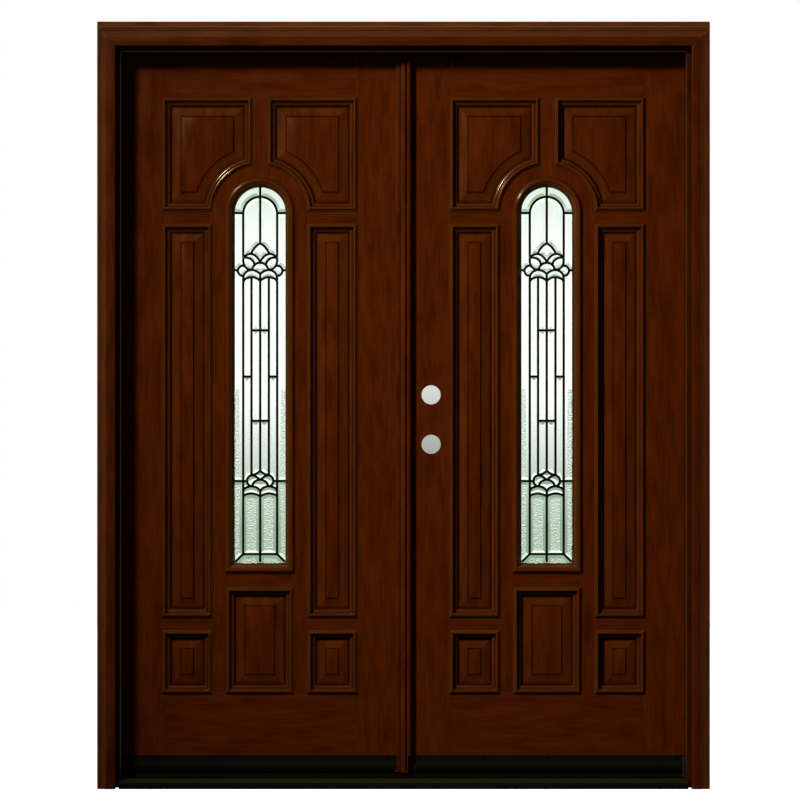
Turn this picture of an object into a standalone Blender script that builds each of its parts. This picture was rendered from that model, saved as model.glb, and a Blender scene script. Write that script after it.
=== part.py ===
"""A prehung double entry door in mahogany, seen from outside along +Y.

The unit is a frame (rebated jambs, casing, drip cap, seals, sill) with two leaves that
swing inwards. Each leaf is framed up from stiles, rails and a centre frame, and holds
raised panels with bolection mouldings and an arched lite. X runs to the right, Y into
the building, Z up, and the origin is on the underside of the sill. Sizes are in metres.
"""

import math

import bmesh
import bpy
from mathutils import Matrix

# Joints between touching pieces
SEAM = 0.0003

# Leaves
LEAF_WIDTH = 0.794
LEAF_HEIGHT = 2.0239
LEAF_THICKNESS = 0.0445
LEAF_BOTTOM = 0.044
HINGE_GAP = 0.003
HEAD_GAP = 0.003

# Framing of a leaf, measured at the edges of the openings for panels and lite
STILE_WIDTH = 0.127
TOP_RAIL_WIDTH = 0.1377
BOTTOM_RAIL_WIDTH = 0.2162
MEMBER_WIDTH = 0.047
LITE_RAIL_WIDTH = 0.0518
TOP_MULLION_WIDTH = 0.0534
TOP_PANEL_HEIGHT = 0.3092
LOW_PANEL_HEIGHT = 0.1678
CENTRE_PANEL_HEIGHT = 0.2888
CENTRE_PANEL_WIDTH = 0.1794
LITE_WIDTH = 0.1844
ARCH_DROP = 0.0086

# Mouldings: each lists (inset from the outer edge, height above the leaf's face)
MOULDING_LAP = 0.007
PANEL_MOULDING = [
    (0.0, 0.0016),
    (0.0052, 0.0066),
    (0.0085, 0.0094),
    (0.0115, 0.0095),
    (0.0150, 0.0074),
    (0.0210, -0.0016),
    (0.0275, -0.0098),
]
PANEL_BEVEL = [
    (0.0275, -0.0130),
    (0.0545, -0.0060),
    (0.0557, -0.0040),
]
LITE_MOULDING = [
    (0.0, 0.0030),
    (0.0035, 0.0066),
    (0.0085, 0.0098),
    (0.0135, 0.0105),
    (0.0180, 0.0080),
    (0.0222, -0.0020),
    (0.0270, -0.0070),
]
GLASS_THICKNESS = 0.022
GLASS_BITE = 0.008
PANEL_ARC_STEPS = 8
LITE_ARC_STEPS = 14

# Lock bores of the active leaf
BORE_DIAMETER = 0.054
BORE_SIDES = 32
BORE_BACKSET = 0.06985
BORE_HEIGHT = 0.9134
BORE_SPACING = 0.1397
LATCH_BORE_DIAMETER = 0.0254
LATCH_BORE_SIDES = 20

# Frame
JAMB_DEPTH = 0.1159
JAMB_LEG = 0.019
REBATE = 0.0159
SEAL_SPACE = 0.008
SEAL_SIDE_CLEARANCE = 0.0005
SEAL_TOP_CLEARANCE = 0.0002
LEAF_SETBACK = 0.0014
REVEAL = 0.0127
CASING_WIDTH = 0.0508
CASING_THICKNESS = 0.032
CASING_EDGE_DROP = 0.0075
CASING_EDGE_ROUND = 0.0025
DRIP_CAP_HEIGHT = 0.019
DRIP_CAP_DEPTH = 0.0285
DRIP_CAP_CROWN = 0.0225
DRIP_CAP_COVE = 0.0235
DRIP_CAP_FALL = 0.0015
DRIP_CAP_COVE_HEIGHT = 0.0058
DRIP_CAP_LIP = 0.0018
ARRIS = 0.0025

# Face of the casing: lists (distance from the inner edge, depth below the highest part)
CASING_FACE = [
    (0.0, 0.0030),
    (0.0030, 0.0),
    (0.0250, 0.0),
    (0.0285, 0.0022),
    (0.0345, 0.0066),
    (0.0390, 0.0080),
    (0.0408, 0.0062),
    (0.0445, 0.0052),
]

# Sill
SILL_NOSE = 0.030
SILL_NOSE_HEIGHT = 0.0170
SILL_HORN = 0.0032
SILL_BACK_HEIGHT = 0.0255
SADDLE_HEIGHT = 0.0315
SILL_LANDING = 0.012

# Rounded edges of the sill and saddle: each lists (distance in, depth below the tread)
SILL_EDGE = [(0.0, 0.004), (0.002, 0.001), (0.006, 0.0)]
SADDLE_FRONT_EDGE = [(0.0, 0.007), (0.004, 0.002), (0.012, 0.0)]
SADDLE_BACK_EDGE = [(0.012, 0.0), (0.004, 0.003), (0.0, 0.011)]

# Door shoe, the black drip strip with a leg under the leaf
SHOE_HEIGHT = 0.0493
SHOE_DROP = 0.0115
SHOE_DEPTH = 0.016
SHOE_FLANGE = 0.0025
SHOE_LEG = 0.040
SHOE_LIP = 0.014
SHOE_NOSE_START = 0.52
SHOE_NOSE_SWEEP = 0.92
SHOE_NOSE_STEPS = 5
SHOE_END_GAP = 0.003
SHOE_ASTRAGAL_GAPS = (0.0015, 0.0138)

# Astragal on the meeting edge of the left leaf
STEM_WIDTH = 0.0127
EDGE_GAP = 0.0034
ASTRAGAL_LAP_LEFT = 0.0138
ASTRAGAL_LAP_RIGHT = 0.0124
ASTRAGAL_BASE = 0.0105
ASTRAGAL_BEAD = 0.0185
ASTRAGAL_NOSE = 0.0245
ASTRAGAL_ROUND = 0.0035
BEAD_START = 0.0138
BEAD_WIDTH = 0.0142
BEAD_STEPS = 5
BEAD_SWEEP = 1.75
QUIRK_WIDTH = 0.0030
QUIRK_DEPTH = 0.0060
NOSE_ROUND = 0.0030
NOSE_BOTTOM = 0.0830
ASTRAGAL_FOOT_WIDTH = 0.0345
ASTRAGAL_GAP = 0.003

# Butt hinges, three to a leaf
HINGE_HEIGHT = 0.1016
HINGE_PLATE_THICKNESS = 0.003
HINGE_PLATE_WIDTH = 0.0345
HINGE_PROUD = 0.0009
HINGE_BARREL_RADIUS = 0.007
HINGE_AXIS_OFFSET = 0.009
HINGE_TOP_MARGIN = 0.178
HINGE_BOTTOM_MARGIN = 0.280
KNUCKLES = 5
KNUCKLE_GAP = 0.0004
PIN_TIP_RADIUS = 0.0045
PIN_TIP_HEIGHT = 0.003
BARREL_SIDES = 10

# How far a cutter runs past the faces it opens
OVERCUT = 0.01

# Faces that meet at less than this are shaded as one round surface
SMOOTH_ANGLE = math.radians(38)

# Places worked out from the sizes above
MEETING_GAP = SEAM + STEM_WIDTH + EDGE_GAP
LEAF_CENTRE = MEETING_GAP / 2 + LEAF_WIDTH / 2
HALF_REBATE = MEETING_GAP / 2 + LEAF_WIDTH + HINGE_GAP
HALF_STOP = HALF_REBATE - REBATE
HALF_OUTER = HALF_REBATE + JAMB_LEG
LEAF_TOP = LEAF_BOTTOM + LEAF_HEIGHT
REBATE_TOP = LEAF_TOP + HEAD_GAP
STOP_TOP = REBATE_TOP - REBATE
JAMB_TOP = REBATE_TOP + JAMB_LEG
LEAF_BACK = JAMB_DEPTH - LEAF_SETBACK
LEAF_FACE = LEAF_BACK - LEAF_THICKNESS
LEAF_MIDDLE = (LEAF_BACK + LEAF_FACE) / 2
STOP_DEPTH = LEAF_FACE - SEAL_SPACE
CASING_INNER = HALF_STOP + REVEAL
CASING_BOTTOM = STOP_TOP + REVEAL
CASING_TOP = CASING_BOTTOM + CASING_WIDTH
HINGE_AXIS_X = HALF_REBATE - HINGE_GAP / 2
HINGE_AXIS_Y = LEAF_BACK + HINGE_AXIS_OFFSET
MORTISE = HINGE_PLATE_THICKNESS - HINGE_PROUD + SEAM
SHOE_BOTTOM = LEAF_BOTTOM - SHOE_DROP

# Heights of the openings in a leaf, and their half widths about its centre
LOW_BOTTOM = LEAF_BOTTOM + BOTTOM_RAIL_WIDTH
LOW_TOP = LOW_BOTTOM + LOW_PANEL_HEIGHT
TALL_BOTTOM = LOW_TOP + MEMBER_WIDTH
TOP_PANEL_TOP = LEAF_TOP - TOP_RAIL_WIDTH
TOP_PANEL_BOTTOM = TOP_PANEL_TOP - TOP_PANEL_HEIGHT
TALL_TOP = TOP_PANEL_BOTTOM - MEMBER_WIDTH
CENTRE_TOP = LOW_BOTTOM + CENTRE_PANEL_HEIGHT
LITE_BOTTOM = CENTRE_TOP + LITE_RAIL_WIDTH
ARCH_CENTRE = TOP_PANEL_BOTTOM - ARCH_DROP
PANEL_OUTER = LEAF_WIDTH / 2 - STILE_WIDTH
PANEL_INNER = LITE_WIDTH / 2 + MEMBER_WIDTH
TOP_PANEL_ARC = LITE_WIDTH / 2 + MEMBER_WIDTH

MAHOGANY = ((0.056, 0.0095, 0.0012), 0.32, 0.0)
DARK_MAHOGANY = ((0.045, 0.009, 0.0018), 0.38, 0.0)
SEAL_VINYL = ((0.018, 0.010, 0.006), 0.6, 0.0)
SILL_BRONZE = ((0.020, 0.019, 0.010), 0.4, 0.6)
SADDLE_BRONZE = ((0.016, 0.015, 0.011), 0.45, 0.4)
SHOE_BLACK = ((0.006, 0.006, 0.006), 0.4, 0.0)
HINGE_BRONZE = ((0.060, 0.038, 0.022), 0.35, 0.9)
CLEAR_GLASS = ((0.75, 0.83, 0.77), 0.08, 0.0)


def clear_scene():
    """Removes every object that the open file holds."""
    for thing in list(bpy.data.objects):
        bpy.data.objects.remove(thing, do_unlink=True)


def make_material(name, finish):
    """Makes a Principled material from a colour, a roughness and a metallic value."""
    colour, roughness, metallic = finish
    material = bpy.data.materials.new(name)
    material.use_nodes = True
    shader = material.node_tree.nodes["Principled BSDF"]
    shader.inputs["Base Color"].default_value = (*colour, 1.0)
    shader.inputs["Roughness"].default_value = roughness
    shader.inputs["Metallic"].default_value = metallic
    return material


def place(name, mesh, finish, parts, parent=None):
    """Puts a mesh into the collection as a named piece with a material of its own."""
    piece = bpy.data.objects.new(name, mesh)
    piece.data.materials.append(make_material(name, finish))
    parts.objects.link(piece)
    if parent is not None:
        piece.parent = parent
        piece.matrix_parent_inverse = parent.matrix_world.inverted()
    return piece


def mesh_from(bm, name):
    """Closes a bmesh into a mesh whose faces point outwards."""
    bmesh.ops.recalc_face_normals(bm, faces=bm.faces[:])
    mesh = bpy.data.meshes.new(name)
    bm.to_mesh(mesh)
    bm.free()
    mesh.shade_smooth()
    mesh.set_sharp_from_angle(angle=SMOOTH_ANGLE)
    return mesh


def add_box(bm, low, high):
    """Adds a box between two corners to a bmesh."""
    size = [b - a for a, b in zip(low, high)]
    middle = [(a + b) / 2 for a, b in zip(low, high)]
    matrix = Matrix.Translation(middle) @ Matrix.Diagonal((*size, 1.0))
    bmesh.ops.create_cube(bm, size=1.0, matrix=matrix)


def add_cylinder(bm, x, y, bottom, top, radius):
    """Adds an upright cylinder to a bmesh."""
    matrix = Matrix.Translation((x, y, (bottom + top) / 2))
    bmesh.ops.create_cone(bm, cap_ends=True, cap_tris=False, segments=BARREL_SIDES,
                          radius1=radius, radius2=radius, depth=top - bottom, matrix=matrix)


def box_mesh(name, low, high):
    """Makes a box between two corners."""
    bm = bmesh.new()
    add_box(bm, low, high)
    return mesh_from(bm, name)


def mirrored(side, low, high):
    """Turns a span of distances from the centre line into one on the left or right."""
    ends = (side * low, side * high)
    return min(ends), max(ends)


AXES = {
    "X": Matrix(((0, 0, 1, 0), (1, 0, 0, 0), (0, 1, 0, 0), (0, 0, 0, 1))),
    "Y": Matrix(((1, 0, 0, 0), (0, 0, -1, 0), (0, 1, 0, 0), (0, 0, 0, 1))),
    "Z": Matrix.Identity(4),
}


def prism_mesh(name, outline, start, end, axis):
    """Extrudes a flat outline along an axis.

    The outline lists (y, z) for X, (x, z) for Y and (x, y) for Z. It is a filled 2D
    curve with an extrude of half its length, made a mesh and welded.
    """
    curve = bpy.data.curves.new(name, "CURVE")
    curve.dimensions = "2D"
    curve.fill_mode = "BOTH"
    curve.extrude = (end - start) / 2
    spline = curve.splines.new("POLY")
    spline.points.add(len(outline) - 1)
    for point, (across, up) in zip(spline.points, outline):
        point.co = (across, up, 0.0, 1.0)
    spline.use_cyclic_u = True
    guide = bpy.data.objects.new(name, curve)
    bpy.context.scene.collection.objects.link(guide)
    graph = bpy.context.evaluated_depsgraph_get()
    mesh = bpy.data.meshes.new_from_object(guide.evaluated_get(graph))
    bpy.data.objects.remove(guide, do_unlink=True)
    bpy.data.curves.remove(curve)
    middle = (start + end) / 2
    shift = {"X": (middle, 0, 0), "Y": (0, middle, 0), "Z": (0, 0, middle)}[axis]
    mesh.transform(Matrix.Translation(shift) @ AXES[axis])
    bm = bmesh.new()
    bm.from_mesh(mesh)
    bmesh.ops.remove_doubles(bm, verts=bm.verts[:], dist=0.00001)
    bpy.data.meshes.remove(mesh)
    return mesh_from(bm, name)


def loft_mesh(name, rings, closed):
    """Bridges rings of equal length; an open loft is capped at both ends."""
    bm = bmesh.new()
    loops = [[bm.verts.new(point) for point in ring] for ring in rings]
    pairs = list(zip(loops, loops[1:]))
    if closed:
        pairs.append((loops[-1], loops[0]))
    else:
        bm.faces.new(loops[0])
        bm.faces.new(loops[-1])
    for first, second in pairs:
        count = len(first)
        for i in range(count):
            j = (i + 1) % count
            bm.faces.new((first[i], first[j], second[j], second[i]))
    return mesh_from(bm, name)


def cut(piece, bm, cutters, use_self=False):
    """Takes the bodies in a bmesh away from a piece."""
    add_boolean(piece, bm, cutters, "DIFFERENCE", use_self)


def weld(piece, bm, cutters, use_self=True):
    """Joins the bodies in a bmesh to a piece."""
    add_boolean(piece, bm, cutters, "UNION", use_self)


def add_boolean(piece, bm, cutters, operation, use_self):
    """Gives a piece a Boolean modifier with a hidden tool made from a bmesh."""
    name = f"{piece.name}_{operation.lower()}_tool"
    tool = bpy.data.objects.new(name, mesh_from(bm, name))
    tool.hide_render = True
    tool.display_type = "WIRE"
    cutters.objects.link(tool)
    modifier = piece.modifiers.new(operation.capitalize(), "BOOLEAN")
    modifier.operation = operation
    modifier.solver = "EXACT"
    modifier.use_self = use_self
    modifier.object = tool


def rectangle(left, right, bottom, top, inset):
    """Gives a rectangle drawn in by an inset."""
    return [(left + inset, bottom + inset), (right - inset, bottom + inset),
            (right - inset, top - inset), (left + inset, top - inset)]


def arched(half_width, bottom, spring, inset):
    """Gives a round-headed opening drawn in by an inset."""
    radius = half_width - inset
    outline = [(-radius, bottom + inset), (radius, bottom + inset)]
    for i in range(LITE_ARC_STEPS + 1):
        angle = math.pi * i / LITE_ARC_STEPS
        outline.append((radius * math.cos(angle), spring + radius * math.sin(angle)))
    return outline


def notched(left, right, bottom, top, radius, centre, inset, past=0.0):
    """Gives a rectangle whose inner lower corner is cut by an arc about the arch centre.

    Drawing it in moves the straight sides inwards and makes the arc's radius larger,
    so the arc's ends stay on the mitres. The outer sides may run past by an amount.
    """
    arc = radius + inset
    low = bottom + inset
    near = left + inset
    far = right - inset + past
    high = top - inset + past
    start = math.acos(near / arc)
    end = math.asin((low - centre) / arc)
    outline = [(far, low), (far, high), (near, high)]
    for i in range(PANEL_ARC_STEPS + 1):
        angle = start + (end - start) * i / PANEL_ARC_STEPS
        outline.append((arc * math.cos(angle), centre + arc * math.sin(angle)))
    return outline


class Leaf:
    """Builds one leaf. Side is -1 for the left leaf and +1 for the right one."""

    def __init__(self, side, parts, cutters):
        self.side = side
        self.name = "left" if side < 0 else "right"
        self.parts = parts
        self.cutters = cutters
        axis = bpy.data.objects.new(f"{self.name}_leaf_axis", None)
        axis.location = (side * HINGE_AXIS_X, HINGE_AXIS_Y, LEAF_BOTTOM)
        parts.objects.link(axis)
        bpy.context.view_layer.update()
        self.axis = axis

    def across(self, offset):
        """Gives X for an offset from the leaf's centre, positive towards the other leaf."""
        return self.side * (LEAF_CENTRE - offset)

    def span(self, low, high):
        """Gives the lower and upper X of two offsets from the leaf's centre."""
        ends = (self.across(low), self.across(high))
        return min(ends), max(ends)

    def add(self, name, mesh, finish):
        """Places a mesh as a piece that swings with this leaf."""
        return place(f"{self.name}_{name}", mesh, finish, self.parts, self.axis)

    def board(self, name, low, high, bottom, top):
        """Makes a board as thick as the leaf between two offsets and two heights."""
        left, right = self.span(low, high)
        mesh = box_mesh(name, (left, LEAF_FACE, bottom), (right, LEAF_BACK, top))
        return self.add(name, mesh, MAHOGANY)

    def stiles(self):
        """Makes the two stiles, with hinge mortises and, on the active leaf, lock bores."""
        edge = LEAF_WIDTH / 2
        hinge_stile = self.board("hinge_stile", -edge, -PANEL_OUTER, LEAF_BOTTOM, LEAF_TOP)
        bm = bmesh.new()
        for bottom in hinge_bottoms():
            left, right = self.span(-edge - OVERCUT, -edge + MORTISE)
            add_box(bm, (left, LEAF_BACK - HINGE_PLATE_WIDTH - SEAM, bottom - SEAM),
                    (right, LEAF_BACK + OVERCUT, bottom + HINGE_HEIGHT + SEAM))
        cut(hinge_stile, bm, self.cutters)
        if self.side < 0:
            self.board("meeting_stile", PANEL_OUTER, edge, LEAF_BOTTOM, LEAF_TOP)
            return
        lock_stile = self.board("lock_stile", PANEL_OUTER, edge, LEAF_BOTTOM, LEAF_TOP)
        self.bore(lock_stile)

    def bore(self, stile):
        """Drills the two lock bores and the latch bores that meet them from the edge."""
        edge = LEAF_WIDTH / 2
        bm = bmesh.new()
        for height in (BORE_HEIGHT, BORE_HEIGHT + BORE_SPACING):
            z = LEAF_BOTTOM + height
            through = (Matrix.Translation((self.across(edge - BORE_BACKSET), LEAF_MIDDLE, z))
                       @ Matrix.Rotation(math.pi / 2, 4, "X"))
            bmesh.ops.create_cone(bm, cap_ends=True, segments=BORE_SIDES,
                                  radius1=BORE_DIAMETER / 2, radius2=BORE_DIAMETER / 2,
                                  depth=LEAF_THICKNESS + 2 * OVERCUT, matrix=through)
            length = BORE_BACKSET + OVERCUT
            middle = self.across(edge - BORE_BACKSET + length / 2)
            inwards = (Matrix.Translation((middle, LEAF_MIDDLE, z))
                       @ Matrix.Rotation(math.pi / 2, 4, "Y"))
            bmesh.ops.create_cone(bm, cap_ends=True, segments=LATCH_BORE_SIDES,
                                  radius1=LATCH_BORE_DIAMETER / 2,
                                  radius2=LATCH_BORE_DIAMETER / 2, depth=length,
                                  matrix=inwards)
        cut(stile, bm, self.cutters, use_self=True)

    def rails(self):
        """Makes the top and bottom rails between the stiles."""
        reach = PANEL_OUTER - SEAM
        self.board("top_rail", -reach, reach, TOP_PANEL_TOP + SEAM, LEAF_TOP)
        self.board("bottom_rail", -reach, reach, LEAF_BOTTOM, LOW_BOTTOM - SEAM)

    def centre_frame(self):
        """Makes the glued-up mullions, cross rails and arch between stiles and rails."""
        reach = PANEL_OUTER - SEAM
        frame = self.board("centre_frame", -reach, reach, LOW_BOTTOM, TOP_PANEL_TOP)
        bm = bmesh.new()
        out = OVERCUT
        outlines = [arched(LITE_WIDTH / 2, LITE_BOTTOM, ARCH_CENTRE, 0.0)]
        half = CENTRE_PANEL_WIDTH / 2
        outlines.append(rectangle(-half, half, LOW_BOTTOM - out, CENTRE_TOP, 0.0))
        for hand in (-1, 1):
            tall = rectangle(PANEL_INNER, PANEL_OUTER + out, TALL_BOTTOM, TALL_TOP, 0.0)
            low = rectangle(PANEL_INNER, PANEL_OUTER + out, LOW_BOTTOM - out, LOW_TOP, 0.0)
            top = notched(TOP_MULLION_WIDTH / 2, PANEL_OUTER, TOP_PANEL_BOTTOM,
                          TOP_PANEL_TOP, TOP_PANEL_ARC, ARCH_CENTRE, 0.0, out)
            for outline in (tall, low, top):
                outlines.append([(hand * u, z) for u, z in outline])
        for outline in outlines:
            points = [(self.across(u), z) for u, z in outline]
            mesh = prism_mesh("opening", points, LEAF_FACE - out, LEAF_BACK + out, "Y")
            bm.from_mesh(mesh)
            bpy.data.meshes.remove(mesh)
        cut(frame, bm, self.cutters)

    def ring(self, outline, height):
        """Turns an outline about the leaf's centre into points at a height in Y.

        Height counts from the middle of the leaf's thickness, outwards to the street.
        """
        return [(self.across(u), LEAF_MIDDLE - height, z) for u, z in outline]

    def panel(self, name, outline_at):
        """Makes a raised panel with its bolection moulding on both faces.

        The moulding laps the framing by MOULDING_LAP, and the panel's edge fills the
        opening, so the section runs from the back field round that edge to the front.
        """
        face = LEAF_THICKNESS / 2
        section = [(0.0, face + SEAM)]
        section += [(inset, face + height) for inset, height in PANEL_MOULDING]
        section += [(inset, face + height) for inset, height in PANEL_BEVEL]
        edge = MOULDING_LAP + SEAM
        front = [(edge, face + SEAM)] + section
        back = [(inset, -height) for inset, height in reversed(front)]
        rings = [self.ring(outline_at(inset - MOULDING_LAP), height)
                 for inset, height in back + front]
        self.add(name, loft_mesh(name, rings, closed=False), MAHOGANY)

    def panels(self):
        """Makes the seven raised panels."""
        half = CENTRE_PANEL_WIDTH / 2

        def hand_outline(hand, shape, *sizes):
            return lambda inset: [(hand * u, z) for u, z in shape(*sizes, inset)]

        for hand, place_name in ((-1, "outer"), (1, "inner")):
            self.panel(f"top_panel_{place_name}", hand_outline(
                hand, notched, TOP_MULLION_WIDTH / 2, PANEL_OUTER, TOP_PANEL_BOTTOM,
                TOP_PANEL_TOP, TOP_PANEL_ARC, ARCH_CENTRE))
            self.panel(f"tall_panel_{place_name}", hand_outline(
                hand, rectangle, PANEL_INNER, PANEL_OUTER, TALL_BOTTOM, TALL_TOP))
            self.panel(f"low_panel_{place_name}", hand_outline(
                hand, rectangle, PANEL_INNER, PANEL_OUTER, LOW_BOTTOM, LOW_TOP))
        self.panel("low_panel_centre", hand_outline(
            1, rectangle, -half, half, LOW_BOTTOM, CENTRE_TOP))

    def lite(self):
        """Makes the arched moulding ring round the glass, and the sealed glass unit."""
        face = LEAF_THICKNESS / 2
        glass = GLASS_THICKNESS / 2
        sight = LITE_MOULDING[-1][0]
        section = [(MOULDING_LAP + SEAM, face + SEAM), (0.0, face + SEAM)]
        section += [(inset, face + height) for inset, height in LITE_MOULDING]
        section += [(sight, glass + SEAM), (sight - GLASS_BITE - SEAM, glass + SEAM)]
        back = [(inset, -height) for inset, height in reversed(section)]

        def outline_at(inset):
            return arched(LITE_WIDTH / 2 + MOULDING_LAP, LITE_BOTTOM - MOULDING_LAP,
                          ARCH_CENTRE, inset)

        rings = [self.ring(outline_at(inset), height) for inset, height in section + back]
        self.add("lite_frame", loft_mesh("lite_frame", rings, closed=True), MAHOGANY)
        outline = [(self.across(u), z) for u, z in outline_at(sight - GLASS_BITE)]
        mesh = prism_mesh("glass_unit", outline, LEAF_MIDDLE - glass, LEAF_MIDDLE + glass, "Y")
        self.add("glass_unit", mesh, CLEAR_GLASS)

    def shoe(self):
        """Makes the black door shoe: a drip nose on the face and a leg under the leaf."""
        back = LEAF_FACE - SEAM
        under = LEAF_BOTTOM - SEAM
        top = SHOE_BOTTOM + SHOE_HEIGHT
        bulge = SHOE_HEIGHT - SHOE_LIP
        outline = [(LEAF_FACE + SHOE_LEG, SHOE_BOTTOM), (LEAF_FACE + SHOE_LEG, under),
                   (back, under), (back, top), (back - SHOE_FLANGE, top)]
        for i in range(SHOE_NOSE_STEPS + 1):
            angle = math.pi * (SHOE_NOSE_START - SHOE_NOSE_SWEEP * i / SHOE_NOSE_STEPS)
            depth = SHOE_FLANGE + (SHOE_DEPTH - SHOE_FLANGE) * math.cos(angle)
            middle = SHOE_BOTTOM + bulge / 2
            outline.append((back - depth, middle + bulge / 2 * math.sin(angle)))
        outline.append((back - SHOE_FLANGE, SHOE_BOTTOM))
        outer = HALF_STOP - SHOE_END_GAP
        laps = (ASTRAGAL_LAP_LEFT, ASTRAGAL_LAP_RIGHT)
        hand = 0 if self.side < 0 else 1
        inner = MEETING_GAP / 2 + laps[hand] + SHOE_ASTRAGAL_GAPS[hand]
        left, right = mirrored(self.side, inner, outer)
        self.add("door_shoe", prism_mesh("door_shoe", outline, left, right, "X"), SHOE_BLACK)

    def hinges(self):
        """Makes this leaf's half of each hinge."""
        for place_name, bottom in zip(("top", "middle", "bottom"), hinge_bottoms()):
            name = f"{self.name}_{place_name}_hinge_leaf_plate"
            outer = HALF_REBATE - HINGE_GAP - MORTISE + SEAM
            span = mirrored(self.side, outer, outer + HINGE_PLATE_THICKNESS)
            hinge_half(name, span, self.side, bottom, 1, self.parts, self.cutters, self.axis)

    def build(self):
        """Makes every piece of the leaf."""
        self.stiles()
        self.rails()
        self.centre_frame()
        self.panels()
        self.lite()
        self.shoe()
        self.hinges()


def hinge_bottoms():
    """Gives the lower ends of the top, middle and bottom hinges."""
    top = LEAF_TOP - HINGE_TOP_MARGIN - HINGE_HEIGHT
    bottom = LEAF_BOTTOM + HINGE_BOTTOM_MARGIN
    return top, (top + bottom) / 2, bottom


def hinge_half(name, span, side, bottom, first, parts, cutters, parent=None):
    """Makes a hinge plate with every second knuckle, from the given one upwards.

    The half that starts with knuckle 0 has the odd knuckles and carries the pin tips.
    """
    left, right = span
    front = LEAF_BACK - HINGE_PLATE_WIDTH
    top = bottom + HINGE_HEIGHT
    mesh = box_mesh(name, (left, front, bottom), (right, LEAF_BACK, top))
    plate = place(name, mesh, HINGE_BRONZE, parts, parent)
    pitch = (HINGE_HEIGHT + KNUCKLE_GAP) / KNUCKLES
    x = side * HINGE_AXIS_X
    bm = bmesh.new()
    for i in range(first, KNUCKLES, 2):
        low = bottom + i * pitch
        high = low + pitch - KNUCKLE_GAP
        add_box(bm, (left, LEAF_BACK - MORTISE, low), (right, HINGE_AXIS_Y, high))
        add_cylinder(bm, x, HINGE_AXIS_Y, low, high, HINGE_BARREL_RADIUS)
    if first == 0:
        add_cylinder(bm, x, HINGE_AXIS_Y, top - MORTISE, top + PIN_TIP_HEIGHT, PIN_TIP_RADIUS)
        add_cylinder(bm, x, HINGE_AXIS_Y, bottom - PIN_TIP_HEIGHT, bottom + MORTISE,
                     PIN_TIP_RADIUS)
    weld(plate, bm, cutters)


def build_jambs(parts, cutters):
    """Makes the two rebated side jambs, and the head jamb that fits between them."""
    section = [(HALF_OUTER, 0.0), (HALF_OUTER, JAMB_DEPTH), (HALF_REBATE, JAMB_DEPTH),
               (HALF_REBATE, STOP_DEPTH), (HALF_STOP, STOP_DEPTH), (HALF_STOP, ARRIS),
               (HALF_STOP + ARRIS, 0.0)]
    for side, name in ((-1, "left_jamb"), (1, "right_jamb")):
        outline = [(side * x, y) for x, y in section]
        jamb = place(name, prism_mesh(name, outline, 0.0, JAMB_TOP, "Z"), MAHOGANY, parts)
        bm = bmesh.new()
        left, right = mirrored(side, HALF_STOP - OVERCUT, HALF_REBATE)
        add_box(bm, (left, -OVERCUT, STOP_TOP - SEAM), (right, STOP_DEPTH + OVERCUT,
                                                       JAMB_TOP + OVERCUT))
        left, right = mirrored(side, HALF_REBATE - OVERCUT, HALF_REBATE + MORTISE)
        for bottom in hinge_bottoms():
            add_box(bm, (left, LEAF_BACK - HINGE_PLATE_WIDTH - SEAM, bottom - SEAM),
                    (right, JAMB_DEPTH + OVERCUT, bottom + HINGE_HEIGHT + SEAM))
        cut(jamb, bm, cutters)
    outline = [(0.0, JAMB_TOP), (0.0, STOP_TOP + ARRIS), (ARRIS, STOP_TOP),
               (STOP_DEPTH, STOP_TOP), (STOP_DEPTH, REBATE_TOP), (JAMB_DEPTH, REBATE_TOP),
               (JAMB_DEPTH, JAMB_TOP)]
    reach = HALF_REBATE - SEAM
    place("head_jamb", prism_mesh("head_jamb", outline, -reach, reach, "X"), MAHOGANY, parts)


def casing_section():
    """Lists (distance from the inner edge, distance out from the wall) of the casing."""
    width = CASING_WIDTH
    depth = CASING_THICKNESS
    edge = depth - CASING_EDGE_DROP
    face = [(across, depth - below) for across, below in CASING_FACE]
    return [(0.0, SEAM), *face, (width - CASING_EDGE_ROUND, edge + CASING_EDGE_ROUND),
            (width, edge), (width, SEAM)]


def build_casing(parts):
    """Makes the two side casings and the head casing, mitred at the corners."""
    section = casing_section()

    def corner(across):
        return CASING_INNER + across, CASING_BOTTOM + across

    for side, name in ((-1, "left_casing"), (1, "right_casing")):
        foot = [(side * (CASING_INNER + a), -out, 0.0) for a, out in section]
        head = [(side * (corner(a)[0] + SEAM / 2), -out, corner(a)[1] - SEAM / 2)
                for a, out in section]
        foot = [(x + side * SEAM / 2, y, z) for x, y, z in foot]
        place(name, loft_mesh(name, [foot, head], closed=False), DARK_MAHOGANY, parts)
    ends = [[(side * (corner(a)[0] - SEAM / 2), -out, corner(a)[1] + SEAM / 2)
             for a, out in section] for side in (-1, 1)]
    place("head_casing", loft_mesh("head_casing", ends, closed=False), DARK_MAHOGANY, parts)


def build_drip_cap(parts):
    """Makes the drip cap along the top of the head casing."""
    low = CASING_TOP + SEAM
    top = low + DRIP_CAP_HEIGHT
    outline = [(-SEAM, low), (-SEAM, top), (-DRIP_CAP_CROWN, top - DRIP_CAP_FALL),
               (-DRIP_CAP_COVE, low + DRIP_CAP_COVE_HEIGHT),
               (-DRIP_CAP_DEPTH, low + DRIP_CAP_LIP), (-DRIP_CAP_DEPTH, low)]
    reach = CASING_INNER + CASING_WIDTH
    mesh = prism_mesh("head_drip_cap", outline, -reach, reach, "X")
    place("head_drip_cap", mesh, MAHOGANY, parts)


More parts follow.
